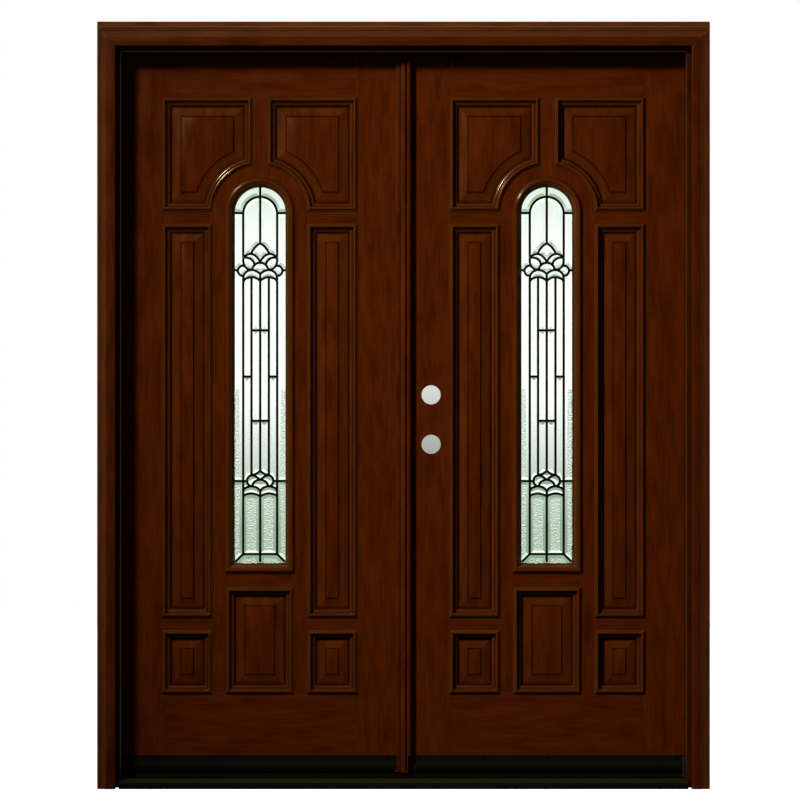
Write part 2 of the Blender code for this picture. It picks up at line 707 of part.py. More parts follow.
def build_seals(parts):
    """Makes the weather seals in the rebate, between the stops and the leaves."""
    front = STOP_DEPTH + SEAM
    back = LEAF_FACE - SEAM
    round_off = (back - front) / 3
    inner = HALF_STOP + SEAL_SIDE_CLEARANCE
    outer = HALF_REBATE - SEAM
    section = [(outer, front), (outer, back), (inner + round_off, back),
               (inner, back - round_off), (inner, front + round_off),
               (inner + round_off, front)]
    top = STOP_TOP + SEAL_TOP_CLEARANCE
    for side, name in ((-1, "left_seal"), (1, "right_seal")):
        outline = [(side * x, y) for x, y in section]
        mesh = prism_mesh(name, outline, SADDLE_HEIGHT + SEAM, top, "Z")
        place(name, mesh, SEAL_VINYL, parts)
    outline = [(y, x - HALF_STOP + STOP_TOP) for x, y in section]
    mesh = prism_mesh("head_seal", outline, -outer, outer, "X")
    place("head_seal", mesh, SEAL_VINYL, parts)


def build_sill(parts, cutters):
    """Makes the sill with its nose and sloping tread, and the saddle behind it."""
    edge = [(inwards - SILL_NOSE, SILL_NOSE_HEIGHT - below) for inwards, below in SILL_EDGE]
    outline = [(-SILL_NOSE, 0.0), *edge, (STOP_DEPTH - SILL_LANDING, SILL_BACK_HEIGHT),
               (STOP_DEPTH, SILL_BACK_HEIGHT), (STOP_DEPTH, 0.0)]
    reach = HALF_STOP + SILL_HORN
    sill = place("sill", prism_mesh("sill", outline, -reach, reach, "X"), SILL_BRONZE, parts)
    bm = bmesh.new()
    for side in (-1, 1):
        left, right = mirrored(side, HALF_STOP - SEAM, reach + OVERCUT)
        add_box(bm, (left, -SEAM, -OVERCUT),
                (right, STOP_DEPTH + OVERCUT, SILL_BACK_HEIGHT + OVERCUT))
    cut(sill, bm, cutters)
    front = STOP_DEPTH + SEAM
    fore = [(front + inwards, SADDLE_HEIGHT - below) for inwards, below in SADDLE_FRONT_EDGE]
    rear = [(JAMB_DEPTH - inwards, SADDLE_HEIGHT - below)
            for inwards, below in SADDLE_BACK_EDGE]
    outline = [(front, 0.0), *fore, *rear, (JAMB_DEPTH, 0.0)]
    reach = HALF_REBATE - SEAM
    mesh = prism_mesh("sill_saddle", outline, -reach, reach, "X")
    place("sill_saddle", mesh, SADDLE_BRONZE, parts)


def build_frame_hinges(parts, cutters):
    """Makes the frame's half of every hinge."""
    for side, name in ((-1, "left"), (1, "right")):
        inner = HALF_REBATE - HINGE_PROUD
        span = mirrored(side, inner, inner + HINGE_PLATE_THICKNESS)
        for place_name, bottom in zip(("top", "middle", "bottom"), hinge_bottoms()):
            hinge_half(f"{name}_{place_name}_hinge_frame_plate", span, side, bottom, 0,
                       parts, cutters)


def build_astragal(leaf):
    """Makes the T-astragal: a stem on the left leaf's edge and a head lapping both leaves."""
    stem_left = -MEETING_GAP / 2 + SEAM
    stem_right = stem_left + STEM_WIDTH
    left = -MEETING_GAP / 2 - ASTRAGAL_LAP_LEFT
    right = MEETING_GAP / 2 + ASTRAGAL_LAP_RIGHT
    face = LEAF_FACE - SEAM
    low = LEAF_FACE - ASTRAGAL_BASE
    high = LEAF_FACE - ASTRAGAL_NOSE
    bead_left = left + BEAD_START
    bead_rise = ASTRAGAL_BEAD - ASTRAGAL_BASE
    outline = [(left, face), (left, low + ASTRAGAL_ROUND), (left + ASTRAGAL_ROUND, low)]
    for i in range(BEAD_STEPS + 1):
        angle = BEAD_SWEEP * i / BEAD_STEPS
        share = (1 - math.cos(angle)) / (1 - math.cos(BEAD_SWEEP))
        outline.append((bead_left + BEAD_WIDTH * share, low - bead_rise * math.sin(angle)))
    quirk_left = outline[-1][0]
    quirk_right = quirk_left + QUIRK_WIDTH
    floor = outline[-1][1] + QUIRK_DEPTH
    outline += [(quirk_left, floor), (quirk_right, floor), (quirk_right, high),
                (right - NOSE_ROUND, high), (right, high + NOSE_ROUND), (right, face),
                (stem_right, face), (stem_right, LEAF_BACK), (stem_left, LEAF_BACK),
                (stem_left, face)]
    bottom = SADDLE_HEIGHT + ASTRAGAL_GAP
    top = STOP_TOP - ASTRAGAL_GAP
    mesh = prism_mesh("astragal", outline, bottom, top, "Z")
    astragal = leaf.add("astragal", mesh, MAHOGANY)
    bm = bmesh.new()
    add_box(bm, (left + ASTRAGAL_FOOT_WIDTH, high - OVERCUT, bottom - OVERCUT),
            (right + OVERCUT, face + SEAM, NOSE_BOTTOM))
    cut(astragal, bm, leaf.cutters)


def main():
    """Builds the whole door unit."""
    clear_scene()
    parts = bpy.data.collections.new("double_entry_door")
    cutters = bpy.data.collections.new("cutters")
    for collection in (parts, cutters):
        bpy.context.scene.collection.children.link(collection)
    build_jambs(parts, cutters)
    build_casing(parts)
    build_drip_cap(parts)
    build_seals(parts)
    build_sill(parts, cutters)
    build_frame_hinges(parts, cutters)
    for side in (-1, 1):
        leaf = Leaf(side, parts, cutters)
        leaf.build()
        if side < 0:
            build_astragal(leaf)


main()
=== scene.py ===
"""Dresses the mahogany double entry door: finishes, mouldings, leaded glass and fittings.

The frame's solids give every place. Boards that are right as they stand keep their solid
and get a finish. Mouldings, panels, glass, astragal, casing, shoes and hinges are made
again here in finer detail, inside the solids they stand for. Sizes are in metres.
"""

import logging
import math
from dataclasses import dataclass, field
from enum import Enum
from typing import Callable, Iterable, Sequence

import bmesh
import bpy
import numpy as np
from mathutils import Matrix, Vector


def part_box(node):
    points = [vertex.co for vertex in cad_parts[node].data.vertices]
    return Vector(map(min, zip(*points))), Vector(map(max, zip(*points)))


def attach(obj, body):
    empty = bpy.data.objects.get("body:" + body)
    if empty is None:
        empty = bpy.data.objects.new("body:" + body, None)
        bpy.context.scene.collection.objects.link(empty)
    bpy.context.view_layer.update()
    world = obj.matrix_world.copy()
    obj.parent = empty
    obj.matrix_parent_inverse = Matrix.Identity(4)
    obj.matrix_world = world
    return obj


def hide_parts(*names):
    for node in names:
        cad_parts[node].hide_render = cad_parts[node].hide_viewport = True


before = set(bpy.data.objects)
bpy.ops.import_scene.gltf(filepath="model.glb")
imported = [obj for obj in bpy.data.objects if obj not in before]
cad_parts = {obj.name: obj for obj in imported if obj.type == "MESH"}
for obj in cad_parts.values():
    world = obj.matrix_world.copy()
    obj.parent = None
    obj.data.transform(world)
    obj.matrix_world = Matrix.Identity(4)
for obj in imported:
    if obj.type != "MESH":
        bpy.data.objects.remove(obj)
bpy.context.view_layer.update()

LOG = logging.getLogger("door")

Array = np.ndarray
Socket = bpy.types.NodeSocket

# Metres in a millimetre, which way along X each side of the door lies, the angle from which
# an edge is sharp, and how far the grain moves on from one side of a ring to the next
MM = 0.001
HAND = {"left": -1, "right": 1}
SHARP = math.radians(32)
BOARD_SHIFT = 0.61
# How far a made piece stays inside the outer faces of the solid that it stands for, how far
# its back stands off the wood or leaf it is fixed to, and the same for a moulding's lap
WITHIN = 0.00005
SEAM = 0.00036
REST = 0.0003
# How wide the lite's ring is, from its outer edge to the glass that shows
SIGHT = 0.0270


def linear(colour: str) -> tuple[float, float, float, float]:
    """Turns an sRGB hex colour into linear values.

    Args:
        colour: six hex digits after a #.

    Returns:
        Red, green and blue as linear values, and an alpha of 1.
    """
    parts = [int(colour[i : i + 2], 16) / 255 for i in (1, 3, 5)]
    curve = [c / 12.92 if c <= 0.04045 else ((c + 0.055) / 1.055) ** 2.4 for c in parts]
    return (curve[0], curve[1], curve[2], 1.0)


def add_node(
    tree: bpy.types.NodeTree, kind: str, inputs: dict | None = None, **settings: object
) -> bpy.types.Node:
    """Adds a node with its settings and links.

    Args:
        tree: the node tree to add to.
        kind: the node's type name.
        inputs: values or output sockets, keyed by the input's name or number.
        settings: the node's own properties.

    Returns:
        The new node.
    """
    node = tree.nodes.new(kind)
    for key, value in settings.items():
        setattr(node, key, value)
    for key, value in (inputs or {}).items():
        if isinstance(value, Socket):
            tree.links.new(value, node.inputs[key])
        else:
            node.inputs[key].default_value = value
    return node


def new_tree(name: str) -> tuple[bpy.types.Material, bpy.types.NodeTree, bpy.types.Node]:
    """Starts a material with an empty tree and its output node."""
    material = bpy.data.materials.new(name)
    material.use_nodes = True
    tree = material.node_tree
    tree.nodes.clear()
    return material, tree, add_node(tree, "ShaderNodeOutputMaterial")


def math_of(tree: bpy.types.NodeTree, operation: str, *values: Socket | float) -> Socket:
    """Adds a math node on one to three values and gives its result."""
    node = add_node(tree, "ShaderNodeMath", dict(enumerate(values)), operation=operation)
    return node.outputs[0]


def mix_of(tree: bpy.types.NodeTree, factor: Socket, first: object, second: object) -> Socket:
    """Adds a mix of two colours, each a socket or RGBA values, and gives its result."""
    inputs = {"Factor": factor, 6: first, 7: second}
    return add_node(tree, "ShaderNodeMix", inputs, data_type="RGBA").outputs[2]


def ranged(
    tree: bpy.types.NodeTree, value: Socket, start: float, end: float,
    low: Socket | float = 0.0, high: float = 1.0,
) -> Socket:
    """Adds a node that carries a value between start and end over to low and high."""
    inputs = {"Value": value, "From Min": start, "From Max": end, "To Min": low, "To Max": high}
    return add_node(tree, "ShaderNodeMapRange", inputs).outputs[0]


def noise_of(
    tree: bpy.types.NodeTree, vector: Socket, scale: float, detail: float, roughness: float = 0.5
) -> Socket:
    """Adds a noise and gives its factor."""
    inputs = {"Vector": vector, "Scale": scale, "Detail": detail, "Roughness": roughness}
    return add_node(tree, "ShaderNodeTexNoise", inputs).outputs["Fac"]


def bumped(
    tree: bpy.types.NodeTree, height: Socket, strength: Socket | float, depth_mm: float
) -> Socket:
    """Adds a bump of a depth in millimetres and gives its normal."""
    inputs = {"Height": height, "Strength": strength, "Distance": depth_mm * MM}
    return add_node(tree, "ShaderNodeBump", inputs).outputs[0]


def surfaced(tree: bpy.types.NodeTree, output: bpy.types.Node, inputs: dict) -> bpy.types.Node:
    """Adds the surface's shader, links it to the output and gives it."""
    shader = add_node(tree, "ShaderNodeBsdfPrincipled", inputs)
    tree.links.new(shader.outputs[0], output.inputs["Surface"])
    return shader


class Grain(Enum):
    """Which way the wood's grain runs on a piece."""

    UPRIGHT = "upright"
    LEVEL = "level"
    SWEPT = "swept"
    FRAMED = "framed"


@dataclass(frozen=True)
class Mahogany:
    """Mahogany, planed, stained red-brown and lacquered, with painted shade in its recesses.

    The eye gets a deep red-brown with darker figure along the grain, fine open pores and a
    satin lacquer that shines on edges that face the light. On top of that, recesses are
    painted nearly black as shade, and edges and slopes that catch the light get a greyer
    painted sheen. The mesh's attribute "painted_shade" gives both: above 0 the painted shade,
    below 0 the painted sheen. In a framed piece the grain lies level in the cross rails:
    farther from its middle than rail_from, and nearer than lock_to below lock_below.
    """

    name: str = "mahogany"
    light: str = "#602a05"
    mid: str = "#542404"
    dark: str = "#421b03"
    # painted shade: the near-black colour laid in recesses where shade falls
    painted_shade: str = "#080401"
    # painted sheen: the greyer colour laid on edges and slopes as a painted reflection
    painted_sheen: str = "#6c5a36"
    roughness: float = 0.16
    figure_mm: float = 26.0
    streak_mm: float = 4.2
    pore_mm: float = 1.0
    stretch: float = 22.0
    rail_from: float = 0.1392
    lock_to: float = 0.0922
    lock_below: float = 0.61
    board_step: tuple[float, float, float] = (0.37, 0.113, 0.071)

    def coordinates(self, tree: bpy.types.NodeTree, grain: Grain, leaf_x: float) -> Socket:
        """Gives a vector whose X runs along the grain, in metres.

        Args:
            tree: the material's node tree.
            grain: which way the grain runs.
            leaf_x: the middle of the leaf, for a framed piece with level cross rails.

        Returns:
            The vector's socket.
        """
        where = add_node(tree, "ShaderNodeTexCoord")
        if grain is Grain.SWEPT:
            return where.outputs["UV"]
        x, y, z = add_node(tree, "ShaderNodeSeparateXYZ", {0: where.outputs["Object"]}).outputs
        upright = add_node(tree, "ShaderNodeCombineXYZ", {"X": z, "Y": x, "Z": y}).outputs[0]
        level = add_node(tree, "ShaderNodeCombineXYZ", {"X": x, "Y": z, "Z": y}).outputs[0]
        if grain is Grain.UPRIGHT:
            return upright
        if grain is Grain.LEVEL:
            return level
        away = math_of(tree, "ABSOLUTE", math_of(tree, "SUBTRACT", x, leaf_x))
        rail = math_of(tree, "GREATER_THAN", away, self.rail_from)
        inner = math_of(tree, "LESS_THAN", away, self.lock_to)
        low = math_of(tree, "LESS_THAN", z, self.lock_below)
        across = math_of(tree, "MAXIMUM", rail, math_of(tree, "MULTIPLY", inner, low))
        inputs = {"Factor": across, 4: upright, 5: level}
        return add_node(tree, "ShaderNodeMix", inputs, data_type="VECTOR").outputs[1]

    def pattern(
        self, tree: bpy.types.NodeTree, vector: Socket, width_mm: float, stretch: float,
        detail: float,
    ) -> Socket:
        """Adds a noise drawn out along the grain.

        Args:
            tree: the material's node tree.
            vector: coordinates in metres with X along the grain.
            width_mm: how wide one streak is across the grain.
            stretch: how many times longer than wide it is.
            detail: the noise's octaves.

        Returns:
            The noise's factor.
        """
        across = 1000.0 / width_mm
        scale = (across / stretch, across, across)
        sized = add_node(tree, "ShaderNodeMapping", {"Vector": vector, "Scale": scale})
        return noise_of(tree, sized.outputs[0], 1.0, detail, 0.55)

    def build(
        self, label: str, grain: Grain, board: int = 0, leaf_x: float = 0.0
    ) -> bpy.types.Material:
        """Makes the finish for one board.

        Args:
            label: the board's name.
            grain: which way its grain runs.
            board: a number that moves the pattern, so that no two boards match.
            leaf_x: the middle of the leaf, for a framed piece.

        Returns:
            The material.
        """
        material, tree, output = new_tree(f"{self.name}_{label}")
        where = self.coordinates(tree, grain, leaf_x)
        shift = tuple(step * board for step in self.board_step)
        inputs = {"Vector": where, "Location": shift}
        place = add_node(tree, "ShaderNodeMapping", inputs).outputs[0]
        figure = self.pattern(tree, place, self.figure_mm, 4.5, 3.0)
        streaks = self.pattern(tree, place, self.streak_mm, self.stretch, 3.0)
        pores = self.pattern(tree, place, self.pore_mm, 14.0, 1.0)
        broad = math_of(tree, "MULTIPLY", figure, 0.6)
        blend = math_of(tree, "MULTIPLY_ADD", streaks, 0.4, broad)
        ramp = add_node(tree, "ShaderNodeValToRGB", {"Fac": blend})
        stops = ramp.color_ramp.elements
        stops[0].position, stops[0].color = 0.34, linear(self.dark)
        stops[1].position, stops[1].color = 0.66, linear(self.light)
        stops.new(0.5).color = linear(self.mid)
        pitted = ranged(tree, pores, 0.62, 0.72, 0.0, 0.35)
        porous = mix_of(tree, pitted, ramp.outputs["Color"], linear(self.dark))
        # painted_shade above 0 darkens towards the painted shade, below 0 lightens towards the
        # painted sheen
        recess = add_node(tree, "ShaderNodeAttribute", attribute_name="painted_shade").outputs["Fac"]
        with_painted_shade = mix_of(tree, recess, porous, linear(self.painted_shade))
        with_painted_sheen = mix_of(tree, ranged(tree, recess, 0.0, -1.0), with_painted_shade, linear(self.painted_sheen))
        sheen = ranged(tree, figure, 0.3, 0.7, self.roughness - 0.03, self.roughness + 0.05)
        relief = math_of(tree, "MULTIPLY_ADD", streaks, 0.6, pores)
        normal = bumped(tree, relief, 0.15, 0.08)
        inputs = {"Base Color": with_painted_sheen, "Roughness": sheen, "IOR": 1.5, "Normal": normal}
        surfaced(tree, output, inputs)
        return material


@dataclass(frozen=True)
class Coated:
    """A metal or plastic with an even colour, slightly mottled, and a fine moulded grit."""

    name: str
    colour: str
    shade: str
    roughness: float = 0.4
    metallic: float = 0.0
    mottle_mm: float = 18.0
    grit_mm: float = 1.2
    grit_depth_mm: float = 0.03
    brushed: float = 1.0
    shine: float = 0.5

    def build(self) -> bpy.types.Material:
        """Makes the material; brushed is how far the grit is drawn out along X."""
        material, tree, output = new_tree(self.name)
        where = add_node(tree, "ShaderNodeTexCoord").outputs["Object"]
        cloud = noise_of(tree, where, 1000 / self.mottle_mm, 3.0)
        fine = 1000 / self.grit_mm
        scale = (fine / self.brushed, fine, fine)
        drawn = add_node(tree, "ShaderNodeMapping", {"Vector": where, "Scale": scale})
        grit = noise_of(tree, drawn.outputs[0], 1.0, 2.0)
        smooth, rough = self.roughness - 0.06, self.roughness + 0.08
        inputs = {
            "Base Color": mix_of(tree, cloud, linear(self.colour), linear(self.shade)),
            "Roughness": ranged(tree, grit, 0.3, 0.7, smooth, rough),
            "IOR": 1.5,
            "Specular IOR Level": self.shine,
            "Metallic": self.metallic,
            "Normal": bumped(tree, grit, 0.4, self.grit_depth_mm),
        }
        surfaced(tree, output, inputs)
        return material


@dataclass(frozen=True)
class Glass:
    """Soda-lime glass, float, bevelled or rolled.

    The eye gets a clear sheet, faintly green where it is thick. Where the mesh's attribute
    "granular" is above 0 it is rolled glass, whose fine grain breaks up what is behind it.
    """

    name: str
    tint: str = "#fcfefc"
    vein: str = "#fcfefc"
    grain_mm: float = 4.5
    frost: float = 0.05
    relief_mm: float = 0.0
    shine: float = 0.5

    def build(self) -> bpy.types.Material:
        """Makes the glass; a relief of 0 is plain float glass."""
        material, tree, output = new_tree(self.name)
        inputs = {
            "Base Color": linear(self.tint),
            "Roughness": 0.0,
            "IOR": 1.45,
            "Specular IOR Level": self.shine,
            "Transmission Weight": 1.0,
        }
        shader = surfaced(tree, output, inputs)
        if not self.relief_mm:
            return material
        where = add_node(tree, "ShaderNodeTexCoord").outputs["Object"]
        rolled = add_node(tree, "ShaderNodeAttribute", attribute_name="granular").outputs["Fac"]
        noise = noise_of(tree, where, 1000 / self.grain_mm, 2.0)
        share = math_of(tree, "MULTIPLY", ranged(tree, noise, 0.38, 0.62), rolled)
        links = {
            "Base Color": mix_of(tree, share, linear(self.tint), linear(self.vein)),
            "Roughness": math_of(tree, "MULTIPLY", rolled, self.frost),
            "Normal": bumped(tree, noise, rolled, self.relief_mm),
        }
        for name, socket in links.items():
            tree.links.new(socket, shader.inputs[name])
        return material


# Finishes by what they are made of
WOOD = Mahogany()
DRIP_WOOD = Mahogany(
    name="drip_cap_mahogany", light="#763d1c", mid="#6a3418", dark="#552810", painted_sheen="#8a6a58"
)
JAMB_WOOD = Mahogany(name="jamb_mahogany", light="#48200a", mid="#3d1a06", dark="#301404")
CASING_WOOD = Mahogany(
    name="casing_mahogany", light="#592807", mid="#4e2206", dark="#3d1a05", painted_sheen="#8a6a58"
)
LEAD = Coated("patinated_lead", "#04100d", "#081511", roughness=0.5, shine=0.15)
BRONZE = Coated(
    "anodised_bronze_sill", "#252e12", "#1d240d", roughness=0.5, brushed=30.0, shine=0.1
)
# The saddle is coloured near black as painted shade, like the shadowed gap under the shoes
SADDLE_IN_PAINTED_SHADE = Coated("moulded_composite_saddle", "#0d0c0a", "#0a0908", roughness=0.6, shine=0.05)
RUBBER = Coated("extruded_black_vinyl", "#17110c", "#0e0a07", roughness=0.6)
SHOE = Coated("moulded_black_vinyl", "#0d1119", "#090c12", roughness=0.7, shine=0.06)
CAP = Coated("black_sill_cap", "#0d1119", "#0a0e14", roughness=0.7, shine=0.06)
TREAD = Coated("black_ribbed_tread", "#090b0e", "#07080a", roughness=0.7, shine=0.05, brushed=30.0)
HINGE = Coated("oil_rubbed_bronze", "#4a3524", "#2e2118", roughness=0.34, metallic=0.9)
SCREW = Coated("blackened_steel", "#161616", "#0c0c0c", roughness=0.35, metallic=0.8)
SPACER = Coated("mill_aluminium_spacer", "#3c403e", "#2c2f2d", roughness=0.45, metallic=0.8)
CLEAR = Glass("clear_float_glass", shine=0.12)
LEADED = Glass("bevelled_and_rolled_glass", tint="#fbfefb", vein="#f8faf8", relief_mm=1.8)


def mesh_object(
    name: str,
    points: Array,
    faces: Sequence[Sequence[int]],
    uv: Array | None = None,
    painted_shade: Array | None = None,
) -> bpy.types.Object:
    """Puts points and faces into a mesh whose faces point outwards, and links its object.

    Args:
        name: the piece's name.
        points: the vertices, (n, 3).
        faces: vertex numbers of each face.
        uv: one UV pair for each face corner, in face order.
        painted_shade: for each vertex, above 0 how much painted shade it gets, below 0 how much
            painted sheen.

    Returns:
        The object, at the origin.
    """
    mesh = bpy.data.meshes.new(name)
    mesh.from_pydata(points.reshape(-1, 3).tolist(), [], faces)
    if uv is not None:
        layer = mesh.uv_layers.new(name="grain")
        layer.data.foreach_set("uv", np.asarray(uv, np.float32).ravel())
    if painted_shade is not None:
        attribute = mesh.attributes.new("painted_shade", "FLOAT", "POINT")
        attribute.data.foreach_set("value", np.asarray(painted_shade, np.float32).ravel())
    bm = bmesh.new()
    bm.from_mesh(mesh)
    bmesh.ops.recalc_face_normals(bm, faces=bm.faces[:])
    bm.to_mesh(mesh)
    bm.free()
    mesh.shade_smooth()
    mesh.set_sharp_from_angle(angle=SHARP)
    piece = bpy.data.objects.new(name, mesh)
    bpy.context.scene.collection.objects.link(piece)
    return piece


def mark_mitres(mesh: bpy.types.Mesh, columns: int, corners: Array) -> None:
    """Keeps the mitre lines of a swept ring sharp.

    Args:
        mesh: the swept mesh, whose vertex number is ring times columns plus column.
        columns: points round one ring.
        corners: which columns are mitres.
    """
    pairs = np.empty(len(mesh.edges) * 2, np.int32)
    mesh.edges.foreach_get("vertices", pairs)
    pairs = pairs.reshape(-1, 2)
    column = pairs % columns
    mitre = (column[:, 0] == column[:, 1]) & corners[column[:, 0]]
    attribute = mesh.attributes.get("sharp_edge") or mesh.attributes.new(
        "sharp_edge", "BOOLEAN", "EDGE"
    )
    sharp = np.zeros(len(mesh.edges), bool)
    attribute.data.foreach_get("value", sharp)
    attribute.data.foreach_set("value", sharp | mitre)


def smooth_run(points: Iterable[Sequence[float]], steps: int = 6) -> Array:
    """Gives the Catmull-Rom curve through a run of points.

    Each piece between two points is a cubic whose slope at each end is half the chord of
    the neighbours on both sides, and the run's ends repeat their own chord.

    Args:
        points: the points to pass through.
        steps: points for each piece.

    Returns:
        The curve's points.
    """
    given = np.array(list(points), float)
    padded = np.vstack((2 * given[0] - given[1], given, 2 * given[-1] - given[-2]))
    t = np.linspace(0, 1, steps, endpoint=False)[:, None]
    a, b, c, d = (padded[i : len(padded) - 3 + i, None] for i in range(4))
    curve = 0.5 * (
        2 * b + (c - a) * t + (2 * a - 5 * b + 4 * c - d) * t**2 + (3 * b - a - 3 * c + d) * t**3
    )
    return np.vstack((curve.reshape(-1, given.shape[1]), given[-1:]))


def profile(*runs: Sequence[Sequence[float]], steps: int = 4) -> Array:
    """Joins smooth runs, in millimetres, into one profile with corners between them."""
    curves = [smooth_run(run, steps if len(run) > 2 else 1) for run in runs]
    joined = [curves[0]] + [curve[1:] for curve in curves[1:]]
    return np.vstack(joined) * MM


@dataclass(frozen=True)
class Leg:
    """One side of a mitred outline: its points and how far along the side they lie."""

    points: Array
    along: Array
    mitred: bool = True


def straight(start: Array, end: Array, mitred: bool = True) -> Leg:
    """Makes a straight side; start and end hold one point for each inset."""
    points = np.stack((start, end), axis=1)
    way = (end - start)[0]
    return Leg(points, points @ (way / np.linalg.norm(way)), mitred)


def curved(
    centre: Array, radius: Array, start: Array, end: Array, steps: int, mitred: bool
) -> Leg:
    """Makes a side that is an arc: centre plus radius times cosine and sine of the angle."""
    share = np.linspace(0, 1, steps + 1)
    angle = start[:, None] + (end - start)[:, None] * share
    points = centre + radius[:, None, None] * np.stack((np.cos(angle), np.sin(angle)), -1)
    return Leg(points, angle * radius.mean(), mitred)


Outline = Callable[[Array], list[Leg]]


def rectangle(left: float, right: float, bottom: float, top: float) -> Outline:
    """Gives a rectangle whose four sides move in by the inset."""

    def legs(inset: Array) -> list[Leg]:
        """Makes the four sides at each inset."""
        corners = [
            np.stack((x + sx * inset, z + sz * inset), -1)
            for x, z, sx, sz in (
                (left, bottom, 1, 1),
                (right, bottom, -1, 1),
                (right, top, -1, -1),
                (left, top, 1, -1),
            )
        ]
        return [straight(corners[i], corners[(i + 1) % 4]) for i in range(4)]

    return legs


def round_headed(middle: float, half: float, bottom: float, spring: float) -> Outline:
    """Gives an upright outline with a half-round head, drawn in by the inset."""

    def legs(inset: Array) -> list[Leg]:
        """Makes the foot, both sides and the arch at each inset."""
        radius = half - inset
        low = bottom + inset
        level = np.full_like(inset, spring)
        feet = [np.stack((middle + s * radius, low), -1) for s in (-1, 1)]
        springs = [np.stack((middle + s * radius, level), -1) for s in (-1, 1)]
        centre = np.array((middle, spring))
        nothing = np.zeros_like(inset)
        return [
            straight(feet[0], feet[1]),
            straight(feet[1], springs[1]),
            curved(centre, radius, nothing, nothing + math.pi, 48, False),
            straight(springs[0], feet[0], False),
        ]

    return legs


def arch_cornered(
    middle: float, hand: int, near: float, far: float, bottom: float, top: float,
    radius: float, spring: float,
) -> Outline:
    """Gives a rectangle whose inner lower corner is cut by an arc about the leaf's arch.

    Args:
        middle: X of the arch's centre.
        hand: +1 or -1, the side of the arch on which it stands.
        near, far: distances of its upright sides from the middle.
        bottom, top: its heights.
        radius: the arc's radius, which grows with the inset.
        spring: the height of the arch's centre.

    Returns:
        The outline.
    """

    def legs(inset: Array) -> list[Leg]:
        """Makes the five sides at each inset."""
        arc = radius + inset
        left, right, low, high = near + inset, far - inset, bottom + inset, top - inset
        start, end = np.arccos(left / arc), np.arcsin((low - spring) / arc)
        angles = (start, end) if hand > 0 else (math.pi - start, math.pi - end)
        centre = np.array((middle, spring))
        after = np.stack((middle + hand * left, spring + arc * np.sin(start)), -1)
        before = np.stack((middle + hand * arc * np.cos(end), low), -1)
        places = ((right, low), (right, high), (left, high))
        corners = [np.stack((middle + hand * u, z), -1) for u, z in places]
        return [
            straight(before, corners[0]),
            straight(corners[0], corners[1]),
            straight(corners[1], corners[2]),
            straight(corners[2], after),
            curved(centre, arc, angles[0], angles[1], 28, True),
        ]

    return legs


def ring_quads(rings: int, sides: int, closed: bool = False) -> Array:
    """Gives the faces between rings of equal length.

    Face j of ring i joins points j and j + 1 of that ring to the same points of the next.

    Args:
        rings: how many rings there are.
        sides: points in a ring.
        closed: whether the last ring joins the first.

    Returns:
        Vertex numbers, (n, 4).
    """
    i, j = np.meshgrid(np.arange(rings if closed else rings - 1), np.arange(sides), indexing="ij")
    after, beside = (i + 1) % rings * sides, (j + 1) % sides
    i = i * sides
    return np.stack((i + j, i + beside, after + beside, after + j), -1).reshape(-1, 4)


def end_faces(rings: int, sides: int) -> list[list[int]]:
    """Gives the faces that fill the first and the last ring."""
    return [list(range(sides)), list(range((rings - 1) * sides, rings * sides))]


def lengths_along(points: Array) -> Array:
    """Gives how far along a run of points each of them is."""
    return np.concatenate(([0.0], np.cumsum(np.linalg.norm(np.diff(points, axis=0), axis=1))))


def sweep(
    name: str, outline: Outline, section: Array, painted_shade: Array | None = None, capped: bool = False
) -> bpy.types.Object:
    """Carries a section round an outline.

    Ring i is the outline drawn in by the section's inset i, at the section's depth i. The
    grain's U is the distance along each side and its V the distance along the section.

    Args:
        name: the piece's name.
        outline: the outline to follow.
        section: (inset, Y) of each ring; closed on itself unless capped.
        painted_shade: painted shade of each ring, below 0 painted sheen.
        capped: whether the first and last rings are filled.

    Returns:
        The piece.
    """
    legs = outline(section[:, 0])
    rings = len(section)
    flat = np.concatenate([leg.points[:, :-1] for leg in legs], axis=1)
    columns = flat.shape[1]
    points = np.empty((rings, columns, 3))
    points[..., 0], points[..., 2] = flat[..., 0], flat[..., 1]
    points[..., 1] = section[:, 1, None]
    shifted = [leg.along + BOARD_SHIFT * i for i, leg in enumerate(legs)]
    u_start = np.concatenate([along[:, :-1] for along in shifted], axis=1)
    u_end = np.concatenate([along[:, 1:] for along in shifted], axis=1)
    last = rings - 1 if capped else rings
    after = (np.arange(last) + 1) % rings
    v = lengths_along(section if capped else np.vstack((section, section[:1])))
    low, high = (np.broadcast_to(v[k : last + k, None], (last, columns)) for k in (0, 1))
    u = np.stack((u_start[:last], u_end[:last], u_end[after], u_start[after]), -1)
    uv = np.stack((u, np.stack((low, low, high, high), -1)), -1).reshape(-1, 2)
    faces = ring_quads(rings, columns, not capped).tolist()
    if capped:
        faces += end_faces(rings, columns)
        uv = np.vstack((uv, flat[0], flat[-1]))
    tone = None if painted_shade is None else np.repeat(painted_shade, columns)
    piece = mesh_object(name, points, faces, uv, tone)
    starts = np.cumsum([0] + [leg.points.shape[1] - 1 for leg in legs[:-1]])
    corners = np.zeros(columns, bool)
    corners[starts[[k for k, leg in enumerate(legs) if leg.mitred]]] = True
    mark_mitres(piece.data, columns, corners)
    return piece


